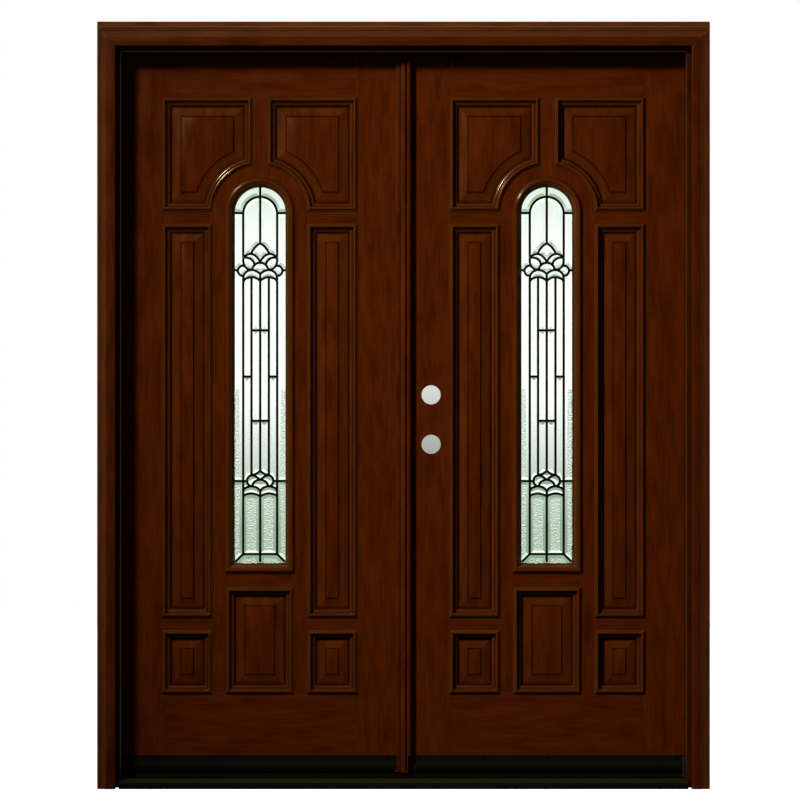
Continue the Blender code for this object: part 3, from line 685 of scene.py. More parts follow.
def bar(name: str, starts: Array, ends: Array, painted_shade: Array) -> bpy.types.Object:
    """Carries a closed section straight from one end to the other, with flat ends.

    The grain's U is the distance along the bar and its V the distance round the section.

    Args:
        name: the piece's name.
        starts: the section's points at one end, (n, 3).
        ends: the same points at the other end.
        painted_shade: painted shade of each point of the section, below 0 painted sheen.

    Returns:
        The piece.
    """
    count = len(starts)
    way = (ends - starts).mean(0)
    points = np.vstack((starts, ends))
    quads = ring_quads(2, count)
    v = lengths_along(np.vstack((starts, starts[:1])))
    u = (points @ (way / np.linalg.norm(way)))[quads]
    uv = np.stack((u, np.stack((v[:-1], v[1:], v[1:], v[:-1]), -1)), -1).reshape(-1, 2)
    faces = quads.tolist() + end_faces(2, count)
    uv = np.vstack((uv, np.zeros((2 * count, 2))))
    return mesh_object(name, points, faces, uv, np.tile(painted_shade, 2))


def lofted(name: str, rings: Array, painted_shade: Array | None = None) -> bpy.types.Object:
    """Joins rings of equal length, (ring, point, XYZ), into one closed piece."""
    count, sides = rings.shape[:2]
    faces = ring_quads(count, sides).tolist() + end_faces(count, sides)
    return mesh_object(name, rings, faces, None, None if painted_shade is None else np.tile(painted_shade, count))


def cut_at(y: Array, z: Array, *places: Array | float) -> Array:
    """Puts a section of (Y, Z) at each X, as rings for a loft or a bar."""
    return np.array([np.stack((np.broadcast_to(x, y.shape), y, z), -1) for x in places])


@dataclass
class Batch:
    """Gathers several closed shells into one mesh."""

    points: list[Array] = field(default_factory=list)
    faces: list[list[int]] = field(default_factory=list)
    count: int = 0

    def loft(self, rings: Array) -> None:
        """Joins rings of equal length and fills the first and last."""
        count, sides = rings.shape[:2]
        faces = ring_quads(count, sides).tolist() + end_faces(count, sides)
        self.faces += [[index + self.count for index in face] for face in faces]
        self.points.append(rings.reshape(-1, 3))
        self.count += len(self.points[-1])

    def tube(
        self, path: Array, half_width: float, half_depth: float, y: float, sides: int = 10
    ) -> None:
        """Carries a section with flat faces and rounded edges along a path in the XZ plane.

        The section's points are the path's normal times cosine, and Y times sine, of the
        angle round it, each raised to a small power that keeps its sign.

        Args:
            path: the middle line, (n, 2).
            half_width: half the section's width across the path.
            half_depth: half its depth along Y.
            y: the depth of its middle.
            sides: points round the section.
        """
        step = np.gradient(path, axis=0)
        step /= np.linalg.norm(step, axis=1)[:, None]
        normal = np.stack((-step[:, 1], step[:, 0]), -1)
        angle = np.linspace(0, 2 * math.pi, sides, endpoint=False)
        wide, deep = (
            half * np.sign(wave) * np.abs(wave) ** 0.3
            for half, wave in ((half_width, np.cos(angle)), (half_depth, np.sin(angle)))
        )
        points = np.empty((len(path), sides, 3))
        points[..., ::2] = path[:, None] + normal[:, None] * wide[:, None]
        points[..., 1] = y + deep
        self.loft(points)

    def block(self, low: Sequence[float], high: Sequence[float], ease: float = 0.0004) -> None:
        """Adds a box between two corners, its edges along Z eased and its ends chamfered."""
        (x0, y0, z0), (x1, y1, z1) = low, high
        rings = []
        for z, cut in ((z0, ease), (z0 + ease, 0), (z1 - ease, 0), (z1, ease)):
            a, b, c, d = x0 + cut, x1 - cut, y0 + cut, y1 - cut
            corners = (
                (a + ease, c), (b - ease, c), (b, c + ease), (b, d - ease), (b - ease, d),
                (a + ease, d), (a, d - ease), (a, c + ease),
            )
            rings.append([(x, y, z) for x, y in corners])
        self.loft(np.array(rings))

    def turned(
        self, centre: Sequence[float], profile_mm: Sequence[Sequence[float]], axis: int = 2,
        sides: int = 24,
    ) -> None:
        """Turns a profile of (radius, height) in millimetres about an axis through a centre.

        Point k of ring i is the centre plus radius i times the cosine and sine of angle k,
        with height i along the axis.
        """
        shape = np.array(profile_mm) * MM
        angle = np.linspace(0, 2 * math.pi, sides, endpoint=False)
        rings = np.empty((len(shape), sides, 3))
        rings[..., (axis + 1) % 3] = shape[:, :1] * np.cos(angle)
        rings[..., (axis + 2) % 3] = shape[:, :1] * np.sin(angle)
        rings[..., axis] = shape[:, 1:]
        self.loft(rings + np.array(centre))

    def build(self, name: str) -> bpy.types.Object:
        """Makes the mesh."""
        return mesh_object(name, np.vstack(self.points), self.faces)


@dataclass
class Workshop:
    """Finishes pieces: gives each its material, its body and what it replaces."""

    boards: int = 0
    shared: dict[str, bpy.types.Material] = field(default_factory=dict)

    def even(self, finish: Coated | Glass) -> bpy.types.Material:
        """Gives the one material of a finish that all its pieces share."""
        if finish.name not in self.shared:
            self.shared[finish.name] = finish.build()
        return self.shared[finish.name]

    def wood(
        self, label: str, grain: Grain, finish: Mahogany = WOOD, leaf_x: float = 0.0
    ) -> bpy.types.Material:
        """Gives a wood material of its own to one board."""
        self.boards += 1
        return finish.build(label, grain, self.boards, leaf_x)

    def hang(
        self, piece: bpy.types.Object, material: bpy.types.Material, body: str,
        slot: str | None = None, instead_of: Sequence[str] = (),
    ) -> bpy.types.Object:
        """Dresses a new piece and sets it on its body."""
        piece.data.materials.append(material)
        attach(piece, body)
        if instead_of:
            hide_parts(*instead_of)
        LOG.info("made %s on %s", piece.name, body)
        return piece

    def dress(self, node: str, material: bpy.types.Material) -> None:
        """Gives a solid of the frame its finish."""
        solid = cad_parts[node]
        solid.data.materials.clear()
        solid.data.materials.append(material)
        LOG.info("dressed %s", node)


def corners_of(node: str) -> tuple[Array, Array]:
    """Gives a solid's lowest and highest corners as arrays."""
    low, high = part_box(node)
    return np.array(low), np.array(high)


# What lies behind the door by how steeply it is looked at, in a few plain tones: through the
# glass, grey-green ground that pales towards the horizon, white sky and the shade of the
# eaves, and straight through the lock bores, a grey yard
THROUGH_GLASS = ((-0.05, "#90a890"), (0.0, "#ffffff"), (0.06, "#ffffff"), (0.12, "#a0b8a0"))
THROUGH_BORES = ((-0.06, "#ffffff"), (-0.03, "#8c9288"), (0.03, "#ffffff"))


def lined(tone: Array | float, across: Array, *lines: Sequence[float]) -> Array:
    """Deepens the painted shade at thin lines, each (place, width, share), places in millimetres.
    """
    for place, width, share in lines:
        tone = np.maximum(tone, share * np.exp(-(((across - place) / width) ** 2)))
    return tone


@dataclass(frozen=True)
class LeafPlaces:
    """Where the parts of a leaf are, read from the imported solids."""

    middle: float
    depth: float
    thickness: float
    spring: float
    panel_arc: float
    lite_half: float
    lite_bottom: float

    @classmethod
    def read(cls, side: str) -> "LeafPlaces":
        """Reads the leaf's places from its lite frame and its stile."""
        low, high = corners_of(f"{side}_lite_frame")
        stile_low, stile_high = corners_of(f"{side}_hinge_stile")
        half = (high[0] - low[0]) / 2
        return cls(
            middle=(low[0] + high[0]) / 2,
            depth=(stile_low[1] + stile_high[1]) / 2,
            thickness=stile_high[1] - stile_low[1],
            spring=high[2] - half,
            panel_arc=half + 0.033,
            lite_half=half,
            lite_bottom=low[2],
        )


@dataclass
class Rings:
    """A ring of moulding on the street face of a leaf, and its twin on the room face.

    Its back is given as (inset, height from the leaf's middle); it rests on the leaf at
    its last point, REST above the leaf's face.
    """

    shop: Workshop
    side: str
    leaf: LeafPlaces
    name: str
    label: str
    node: str = ""

    def hang(
        self, outline: Outline, face: Array, tone: Array, back: Sequence[Sequence[float]]
    ) -> None:
        """Makes both rings, the street one instead of the solid where there is one."""
        shape = np.vstack((face + (0, self.leaf.thickness / 2), back))
        # The back and the rebate get full painted shade
        shade = np.concatenate((tone, np.ones(len(back))))
        for name, sign in (("street", -1), ("room", 1)):
            section = np.column_stack((shape[:, 0], self.leaf.depth + sign * shape[:, 1]))
            ring = sweep(f"{self.name}_{name}", outline, section, shade)
            wood = self.shop.wood(f"{self.label}_{name}", Grain.SWEPT)
            instead = [self.node] if self.node and name == "street" else []
            self.shop.hang(ring, wood, f"{self.side}_leaf", "moulded_mahogany", instead)


@dataclass
class Panel:
    """A raised panel and the bolection moulding round it, on both faces of the leaf."""

    side: str
    place: str
    shop: Workshop
    lap: float = 0.007
    moulding_width: float = 0.0275
    moulding_depth: float = 0.0120

    def moulding_face(self) -> tuple[Array, Array]:
        """Gives the moulding's face as (inset, height over the leaf) and its painted shade and
        sheen.
        """
        face = profile(
            [(0.0, 0.3), (0.0, 1.0)],
            [(0.0, 1.0), (0.5, 1.6), (2.6, 3.3), (4.4, 5.3), (5.8, 7.6)],
            [(5.8, 7.6), (6.5, 7.8)],
            [(6.5, 7.8), (7.4, 9.0), (8.9, 9.5), (10.4, 9.1)],
            [(10.4, 9.1), (11.5, 7.0), (13.0, 2.2), (14.4, -1.8), (15.8, -3.5)],
            [(15.8, -3.5), (16.5, -3.3), (18.6, -3.5), (20.8, -4.4), (22.8, -6.0)],
            [(22.8, -6.0), (23.6, -8.4), (24.8, -9.9)],
            [(24.8, -9.9), (27.5, -10.3)],
        )
        inset = face[:, 0] * 1000
        # Painted shade at the outer edge, in the quirks and at the foot, and painted sheen on the
        # rounds
        depth = np.interp(inset, [0, 0.5, 1.2, 22.6, 23.6, 27.5], [0.9, 0.5, 0, 0, 0.55, 0.75])
        depth = np.minimum(lined(depth, inset, (6.1, 0.5, 0.55), (15.6, 0.9, 0.45)), 0.97)
        for start, end, painted_sheen in ((2, 5.4, 0.12), (7, 10.6, 0.20), (17.4, 22.4, 0.06)):
            depth = depth - painted_sheen * ((inset > start) & (inset < end))
        return face, depth

    def board_face(self) -> tuple[Array, Array]:
        """Gives the raised panel's face as (inset, height over the leaf) and its painted shade and
        sheen.
        """
        face = profile(
            [(27.5, -12.6), (29.5, -12.2), (53.6, -6.4)],
            [(53.6, -6.4), (54.1, -7.3), (55.0, -7.5), (55.7, -6.9)],
            [(55.7, -6.9), (56.1, -4.9)],
            [(56.1, -4.9), (56.5, -4.3), (57.2, -4.05)],
        )
        inset = face[:, 0] * 1000
        # Painted shade at the foot and in the quirk round the field, and a faint painted sheen on
        # the bevel
        foot = np.interp(inset, [27.5, 28.6, 30.0], [0.75, 0.4, 0.0])
        bevel = -0.07 * ((inset > 30.2) & (inset < 53))
        return face, np.clip(lined(foot, inset, (54.8, 0.9, 1.0)), 0, 0.97) + bevel

    def outline(self, leaf: LeafPlaces) -> Outline:
        """Gives the outline of the moulding's outer edge."""
        low, high = corners_of(f"{self.side}_{self.place}")
        if not self.place.startswith("top"):
            return rectangle(low[0], high[0], low[2], high[2])
        hand = 1 if (low[0] + high[0]) / 2 > leaf.middle else -1
        near, far = sorted((abs(low[0] - leaf.middle), abs(high[0] - leaf.middle)))
        return arch_cornered(
            leaf.middle, hand, near, far, low[2], high[2], leaf.panel_arc, leaf.spring
        )

    def build(self, leaf: LeafPlaces) -> None:
        """Makes the panel board and its moulding."""
        node = f"{self.side}_{self.place}"
        outline = self.outline(leaf)
        half = leaf.thickness / 2
        face, tone = self.board_face()
        front = np.column_stack((face[:, 0], leaf.depth - half - face[:, 1]))
        front = np.vstack(([(self.moulding_width * 0.5, front[0, 1])], front))
        # The board's hidden rim under the moulding gets full painted shade
        tone = np.concatenate(([1.0], tone))
        back = np.column_stack((front[::-1, 0], 2 * leaf.depth - front[::-1, 1]))
        section = np.vstack((back, front))
        board = sweep(f"{node}_board", outline, section, np.concatenate((tone[::-1], tone)), True)
        wood = self.shop.wood(f"{node}_board", Grain.UPRIGHT)
        self.shop.hang(board, wood, f"{self.side}_leaf", "moulded_mahogany", [node])
        inner = self.lap + 0.0004
        under = half - self.moulding_depth
        rings = Rings(self.shop, self.side, leaf, f"{node}_moulding", f"{node}_moulding")
        rings.hang(
            outline, *self.moulding_face(),
            [(self.moulding_width, under), (inner, under), (inner, half + REST)],
        )


@dataclass
class LiteFrame:
    """The arched moulding ring that holds the glass, on both faces of the leaf.

    Each half has a rebate for the glass unit: it bites rebate_width over the unit's edge, and
    the halves meet half_gap from the leaf's middle.
    """

    side: str
    shop: Workshop
    glass_face: float = 0.0113
    rebate_width: float = 0.0083
    half_gap: float = 0.0002
    outer: float = 0.0074

    def build(self, leaf: LeafPlaces) -> None:
        """Makes the ring in a street half and a room half."""
        face = profile(
            [(0.0, 0.3), (0.0, 1.2)],
            [(0.0, 1.2), (0.6, 2.0), (2.6, 4.0), (4.2, 6.2), (5.4, 8.4)],
            [(5.4, 8.4), (6.2, 8.6)],
            [(6.2, 8.6), (6.9, 9.8), (8.2, 10.4), (9.2, 10.1)],
            [(9.2, 10.1), (10.2, 10.45), (12.4, 10.2), (15.2, 8.8)],
            [(15.2, 8.8), (15.6, 7.7)],
            [(15.6, 7.7), (18.2, 6.0), (21.0, 2.6), (23.4, -1.4), (25.4, -4.8)],
            [(25.4, -4.8), (26.2, -5.2), (27.0, -6.8)],
        )
        inset = face[:, 0] * 1000
        # Painted shade at the outer edge, in the quirks and next to the glass, and painted sheen
        # on the crown and inner slope
        tone = np.interp(inset, [0, 0.5, 1.2, 24.5, 26.0, 27.0], [0.9, 0.5, 0, 0, 0.7, 0.95])
        tone = lined(tone, inset, (5.7, 0.5, 0.55), (15.5, 0.55, 0.7))
        tone = tone - 0.22 * ((inset > 16.4) & (inset < 24))
        tone = tone - 0.12 * ((inset > 3) & (inset <= 16.4))
        outline = round_headed(leaf.middle, leaf.lite_half, leaf.lite_bottom, leaf.spring)
        bed = SIGHT - self.rebate_width
        rings = Rings(
            self.shop, self.side, leaf, f"{self.side}_lite_frame", f"{self.side}_lite",
            f"{self.side}_lite_frame",
        )
        back = [
            (SIGHT, self.glass_face), (bed, self.glass_face), (bed, self.half_gap),
            (self.outer, self.half_gap), (self.outer, leaf.thickness / 2 + REST),
        ]
        rings.hang(outline, face, tone, back)


Path2D = Array


def circle(centre: Sequence[float], radius: float, turn: tuple[float, float] = (0, 360)) -> Path2D:
    """Gives an arc of a circle between two angles in degrees."""
    angle = np.radians(np.linspace(*turn, 25))
    return np.array(centre) + radius * np.stack((np.cos(angle), np.sin(angle)), -1)


def run_of(*points: Sequence[float]) -> Path2D:
    """Gives straight runs between points, with a point every few millimetres."""
    given = np.array(points, float)
    length = lengths_along(given)
    at = np.linspace(0, length[-1], max(2, int(length[-1] / 12) + 1))
    return np.stack([np.interp(at, length, given[:, k]) for k in (0, 1)], -1)


@dataclass
class LeadedLite:
    """The glass unit: two clear panes with a leaded panel sealed between them.

    The cames' design is in millimetres: across from the lite's middle, and down from the
    springing of its arch. The glass is rolled below rolled_below, and beside the long cames
    below sides_below, both metres down from the springing. The sheet stays edge inside the
    unit.
    """

    side: str
    shop: Workshop
    bite: float = 0.0080
    edge: float = 0.0012
    rolled_below: float = 0.8022
    sides_below: float = 0.5
    pane: float = 0.0030
    came_half: float = 0.0035
    came_depth: float = 0.0036
    plate: float = 0.0052
    bevel_width: float = 0.0085
    bevel_slope: float = 0.15
    step: float = 0.0015
    near: float = 24.6
    far: float = 48.0
    sight: float = 72.2

    def both(self, path: Path2D) -> list[Path2D]:
        """Gives a path and its mirror image."""
        return [path, path * (-1, 1)]

    def head(self) -> list[Path2D]:
        """Gives the inner arch with its stubs and long sides, and the crown's came."""
        far, sight = self.far, self.sight
        return [
            circle((0, -3.4), far, (0, 180)),
            run_of((0, sight), (0, -87.6)),
            *self.both(run_of((far, -1.3), (sight, -1.3))),
            *self.both(run_of((far, -3.4), (far, -126.2))),
            *self.both(run_of((far, -187.0), (far, -965.5))),
        ]

    def top_flower(self) -> list[Path2D]:
        """Gives the flower under the arch: a bud, two crescents, petals and scales."""
        far, sight = self.far, self.sight
        shapes = (
            ((0, -87.6), (6.5, -91.0), (13.2, -96.8), (21.0, -107.0), (26.0, -117.0)),
            ((far, -126.2), (38.0, -119.8), (27.4, -116.9), (16.0, -120.3), (7.9, -127.5),
             (0, -138.5)),
            ((far, -127.5), (36.2, -127.5), (27.0, -131.0), (19.5, -138.0), (17.0, -145.5),
             (17.8, -151.0)),
            ((far, -127.5), (47.4, -142.0), (42.5, -153.0), (34.0, -160.0), (24.0, -161.5)),
            ((0, -141.5), (10.0, -144.0), (17.6, -150.5), (23.5, -160.0), (24.5, -162.0)),
            ((far, -187.0), (45.5, -175.0), (37.0, -166.0), (24.5, -162.0), (11.0, -165.5),
             (0, -173.5)),
            ((far, -195.0), (41.0, -187.0), (27.5, -182.5), (16.0, -183.4), (6.0, -188.2),
             (0, -193.4)),
            ((42.5, -152.5), (49.6, -150.0), (57.6, -153.6), (62.6, -160.8), (62.0, -169.5),
             (56.0, -177.0), (47.0, -178.6)),
        )
        link = run_of((63.0, -163.0), (sight, -163.0))
        paths = [run_of((0, -138.5), (0, -141.5)), *self.both(link)]
        for shape in shapes:
            paths += self.both(smooth_run(shape, 5))
        return paths

    def strips(self) -> list[Path2D]:
        """Gives the upright cames between the flowers, with their cross bars."""
        near, far = self.near, self.far
        return [
            run_of((0, -173.5), (0, -730.7)),
            *self.both(run_of((near, -182.8), (near, -742.0))),
            run_of((-near, -332.9), (near, -332.9)),
            *self.both(run_of((near, -463.8), (far, -463.8))),
            run_of((-near, -588.7), (near, -588.7)),
        ]

    def low_flower(self) -> list[Path2D]:
        """Gives the flower below, and the border at the foot."""
        far, sight = self.far, self.sight
        shapes = (
            ((0, -730.7), (12.5, -739.0), (24.7, -742.4), (34.0, -748.5), (37.2, -758.3),
             (34.5, -767.5), (28.5, -772.8)),
            ((24.7, -742.4), (14.5, -745.0), (6.0, -750.8), (0, -756.4)),
            ((0, -755.0), (9.7, -757.4), (18.5, -763.6), (23.2, -773.8)),
            ((far, -786.2), (41.5, -778.6), (25.6, -773.6), (9.7, -777.6), (0, -786.2)),
            ((far, -802.2), (41.5, -797.5), (25.6, -794.2), (9.7, -797.5), (0, -802.2)),
        )
        paths = [
            run_of((0, -786.2), (0, -987.7)),
            run_of((-far, -965.5), (far, -965.5)),
            *self.both(run_of((37.2, -758.9), (sight, -758.9))),
            *self.both(run_of((far, -965.5), (70.5, -987.7))),
        ]
        for shape in shapes:
            paths += self.both(smooth_run(shape, 5))
        return paths

    def relief(self, x: Array, z: Array, paths: list[Path2D]) -> Array:
        """Gives how much thinner the plate is than its full thickness at each point.

        The bevel falls evenly towards the nearest came, over its width.

        Args:
            x, z: the points.
            paths: the cames' middle lines.

        Returns:
            The fall at each point.
        """
        nearest = np.full(x.shape, 1.0)
        starts = np.vstack([path[:-1] for path in paths])
        ends = np.vstack([path[1:] for path in paths])
        for (ax, az), (bx, bz) in zip(starts, ends):
            reach = self.bevel_width + self.came_half
            box = (
                (x > min(ax, bx) - reach) & (x < max(ax, bx) + reach)
                & (z > min(az, bz) - reach) & (z < max(az, bz) + reach)
            )
            px, pz = x[box], z[box]
            length = (bx - ax) ** 2 + (bz - az) ** 2
            t = np.clip(((px - ax) * (bx - ax) + (pz - az) * (bz - az)) / max(length, 1e-12), 0, 1)
            gap = np.hypot(px - ax - t * (bx - ax), pz - az - t * (bz - az))
            nearest[box] = np.minimum(nearest[box], gap)
        inside = np.clip(nearest - self.came_half * 0.6, 0, self.bevel_width)
        return (self.bevel_width - inside) * self.bevel_slope

    def plate_sheet(self, name: str, leaf: LeafPlaces, paths: list[Path2D]) -> bpy.types.Object:
        """Makes the bevelled glass between the cames as one sheet.

        Columns run across, rows run from the foot up to the arch over each column. The
        front is the relief of the bevels, the back is one flat face, and strips close the
        edges.
        """
        half = self.sight * MM + self.bite - self.edge
        foot = leaf.lite_bottom + SIGHT - self.bite + self.edge
        columns = int(2 * half / self.step) + 1
        rows = int((leaf.spring + half - foot) / self.step) + 1
        across = np.linspace(-half, half, columns)[None, :]
        share = np.linspace(0, 1, rows)[:, None]
        crown = leaf.spring + np.sqrt(np.maximum(half**2 - across**2, 0))
        x = np.broadcast_to(across, (rows, columns))
        z = foot + share * (crown - foot)
        fall = self.relief(x, z, paths)
        front = leaf.depth - self.plate / 2 + fall
        grid = np.arange(rows * columns).reshape(rows, columns)
        faces = np.stack((grid[:-1, :-1], grid[:-1, 1:], grid[1:, 1:], grid[1:, :-1]), -1)
        faces = faces.reshape(-1, 4)
        rim = np.concatenate((grid[0], grid[1:, -1], grid[-1, -2::-1], grid[-2:0:-1, 0]))
        back = rows * columns + np.arange(len(rim))
        walls = np.stack((rim, back, np.roll(back, -1), np.roll(rim, -1)), -1)
        points = np.stack((x + leaf.middle, front, z), -1).reshape(-1, 3)
        behind = points[rim]
        behind[:, 1] = leaf.depth + self.plate / 2
        rear = [back[::-1].tolist()]
        whole = np.vstack((points, behind))
        sheet = mesh_object(name, whole, faces.tolist() + walls.tolist() + rear)
        low = z < leaf.spring - self.rolled_below
        side = (np.abs(x) > self.far * MM) & (z < leaf.spring - self.sides_below)
        grain = ((low | side) & (fall <= 0)).astype(np.float32).ravel()
        granular = np.concatenate((grain, np.zeros(len(rim), np.float32)))
        attribute = sheet.data.attributes.new("granular", "FLOAT", "POINT")
        attribute.data.foreach_set("value", granular)
        return sheet

    def build(self, leaf: LeafPlaces) -> None:
        """Makes the panes, the spacer, the leaded panel and its cames."""
        node = f"{self.side}_glass_unit"
        body = f"{self.side}_leaf"
        low, high = corners_of(node)
        half = (high[0] - low[0]) / 2 - WITHIN
        outline = round_headed(leaf.middle, half, low[2] + WITHIN, leaf.spring)
        clear = self.shop.even(CLEAR)
        chamfer = 0.0004
        for name, y in (("street", low[1] + WITHIN), ("room", high[1] - WITHIN - self.pane)):
            end = y + self.pane
            section = [(chamfer, y), (0, y + chamfer), (0, end - chamfer), (chamfer, end)]
            pane = sweep(f"{node}_{name}_pane", outline, np.array(section), None, True)
            instead = [node] if name == "street" else []
            self.shop.hang(pane, clear, body, "clear_glass", instead)
        near, far = low[1] + WITHIN + self.pane + 0.0001, high[1] - WITHIN - self.pane - 0.0001
        section = np.array([(0.0010, near), (0.0064, near), (0.0068, near + 0.0008),
                            (0.0068, far - 0.0008), (0.0064, far), (0.0010, far)])
        spacer = sweep(f"{node}_spacer", outline, section)
        self.shop.hang(spacer, self.shop.even(SPACER), body, "came_lead")

        paths = self.head() + self.top_flower() + self.strips() + self.low_flower()
        placed = [path * MM + (0, leaf.spring) for path in paths]
        sheet = self.plate_sheet(f"{node}_leaded_glass", leaf, placed)
        self.shop.hang(sheet, self.shop.even(LEADED), body, "clear_glass")
        cames = Batch()
        for path in placed:
            cames.tube(path + (leaf.middle, 0), self.came_half, self.came_depth, leaf.depth)
        lattice = cames.build(f"{node}_cames")
        self.shop.hang(lattice, self.shop.even(LEAD), body, "came_lead")


@dataclass
class Casing:
    """The outer casing in three mitred lengths, and the drip cap on its head."""

    shop: Workshop

    def face(self) -> tuple[Array, Array]:
        """Gives the casing's face as (distance across, depth below its flat), and its painted
        shade and sheen.
        """
        face = profile(
            [(0.05, 3.5), (0.6, 1.5), (1.7, 0.5), (3.3, 0.05)],
            [(3.3, 0.05), (24.5, 0.05)],
            [(24.5, 0.05), (28.0, 1.0), (32.5, 2.7), (37.5, 4.0), (42.5, 4.5)],
            [(42.5, 4.5), (43.0, 4.9), (43.5, 4.6)],
            [(43.5, 4.6), (46.0, 4.5), (48.4, 5.1), (50.0, 6.6), (50.75, 8.6)],
        )
        across = face[:, 0] * 1000
        # Painted shade in a thin line at 43 mm, and a greyer painted sheen on the outer slope
        line = lined(0.0, across, (43.0, 0.5, 0.5))
        return face, line - 0.15 * ((across > 25) & (across < 50.5))

    def build(self) -> None:
        """Makes both sides, the head and the drip cap."""
        face, tone = self.face()
        low, high = corners_of("left_casing")
        inner, thick = -high[0], -low[1]
        bottom = high[2] - (high[0] - low[0])
        out = thick - face[:, 1]
        across = np.concatenate((face[:, 0], face[[-1, 0], 0]))
        y = -np.concatenate((out, [SEAM, SEAM]))
        # The back gets full painted shade
        tone = np.concatenate((tone, [1.0, 1.0]))
        for side, name in ((-1, "left"), (1, "right")):
            x = side * (inner + across)
            foot = np.stack((x, y, np.full_like(x, WITHIN)), -1)
            head = np.stack((x, y, bottom + across), -1)
            self.length(f"{name}_casing", foot, head, tone)
        head_low, head_high = corners_of("head_casing")
        shift = head_high[2] - high[2]
        ends = [
            np.stack((side * (inner + across - shift), y, bottom + across + shift), -1)
            for side in (-1, 1)
        ]
        self.length("head_casing", ends[0], ends[1], tone)
        self.drip_cap()

    def length(self, node: str, start: Array, end: Array, tone: Array) -> None:
        """Makes one length of casing."""
        piece = bar(f"{node}_moulded", start, end, tone)
        wood = self.shop.wood(f"{node}_moulded", Grain.SWEPT, CASING_WOOD)
        self.shop.hang(piece, wood, "frame", "casing_mahogany", [node])

    def drip_cap(self) -> None:
        """Makes the drip cap: a sloping top, a coved face and a thin lip on the casing."""
        low, high = corners_of("head_drip_cap")
        face = profile(
            [(0.36, 18.9), (20.4, 17.5)],
            [(20.4, 17.5), (21.7, 17.0), (22.35, 15.8)],
            [(22.35, 15.8), (22.8, 10.5), (23.3, 6.6)],
            [(23.3, 6.6), (24.2, 4.8), (26.0, 3.3), (28.3, 1.75)],
            [(28.3, 1.75), (28.45, 1.5), (28.45, 0.1)],
            [(28.45, 0.1), (0.36, 0.1)],
        )
        y, z = -face[:, 0], low[2] + face[:, 1]
        # A painted highlight on the lip and a little painted shade in the cove
        tone = np.interp(face[:, 1] * 1000, [1.6, 1.9, 2.4, 4.5, 7.0], [-0.7, -0.7, 0.1, 0.2, 0.0])
        ends = cut_at(y, z, low[0] + WITHIN, high[0] - WITHIN)
        piece = bar("head_drip_cap_moulded", *ends, tone)
        wood = self.shop.wood("head_drip_cap_moulded", Grain.SWEPT, DRIP_WOOD)
        self.shop.hang(piece, wood, "frame", "casing_mahogany", ["head_drip_cap"])


@dataclass
class Astragal:
    """The astragal on the left leaf: a base, a bead, a quirk and a proud strip."""

    shop: Workshop
    foot_width: float = 0.03445
    foot_top: float = 0.0830
    stem: tuple[float, float] = (0.01415, 0.02675)

    def build(self) -> None:
        """Makes the head and stem as one length, its strip cut away over the shoe."""
        node = "left_astragal"
        low, high = corners_of(node)
        leaf_face = corners_of("left_hinge_stile")[0][1]
        left, right = self.stem
        face = profile(
            [(0.05, 0.36), (0.05, 6.0)],
            [(0.05, 6.0), (0.5, 8.2), (1.7, 9.7), (3.7, 10.4)],
            [(3.7, 10.4), (13.2, 10.4)],
            [(13.2, 10.4), (13.6, 9.7), (14.05, 10.5)],
            [(14.05, 10.5), (14.7, 13.0), (16.8, 15.4), (19.9, 17.2), (23.8, 18.2), (26.6, 18.2),
             (27.6, 17.6), (27.95, 16.6)],
            [(27.95, 16.6), (27.95, 12.3)],
            [(27.95, 12.3), (28.5, 11.9), (30.5, 11.9), (31.05, 12.3)],
            [(31.05, 12.3), (31.05, 23.6)],
            [(31.05, 23.6), (31.4, 24.3), (32.1, 24.45)],
            [(32.1, 24.45), (38.4, 24.45)],
            [(38.4, 24.45), (40.3, 23.7), (41.7, 22.2), (42.55, 20.2)],
            [(42.55, 20.2), (42.55, 0.36)],
        )
        across = face[:, 0]
        # Painted shade in the quirk and in the groove beside the strip
        tone = lined(0.0, across * 1000, (13.6, 0.45, 0.9))
        tone = np.maximum(tone, (face[:, 1] < 0.0126) & (across > 0.0275) & (across < 0.0313))
        deep = leaf_face - high[1] + WITHIN
        rest = [(right, SEAM), (right, deep), (left, deep), (left, SEAM)]
        section = np.vstack((face, rest))
        tone = np.concatenate((tone, np.zeros(4)))
        rings = []
        for z, width in (
            (low[2] + WITHIN, self.foot_width), (self.foot_top, self.foot_width),
            (self.foot_top + 0.0001, 1.0), (high[2] - WITHIN, 1.0),
        ):
            x = low[0] + np.minimum(section[:, 0], width)
            rings.append(np.stack((x, leaf_face - section[:, 1], np.full_like(x, z)), -1))
        piece = lofted("left_astragal_moulded", np.array(rings), tone)
        wood = self.shop.wood("left_astragal_moulded", Grain.UPRIGHT)
        self.shop.hang(piece, wood, "left_leaf", "moulded_mahogany", [node])
        pad = Batch()
        pad.block((low[0] + 0.0002, 0.0462, high[2] + 0.0002), (0.0204, 0.0618, high[2] + 0.0026))
        pad.block((-0.0080, 0.0706, high[2] + 0.0002), (0.0080, 0.1095, high[2] + 0.0150), 0.0008)
        cap = pad.build("left_astragal_top_pad")
        self.shop.hang(cap, self.shop.even(RUBBER), "left_leaf", "seal_vinyl")


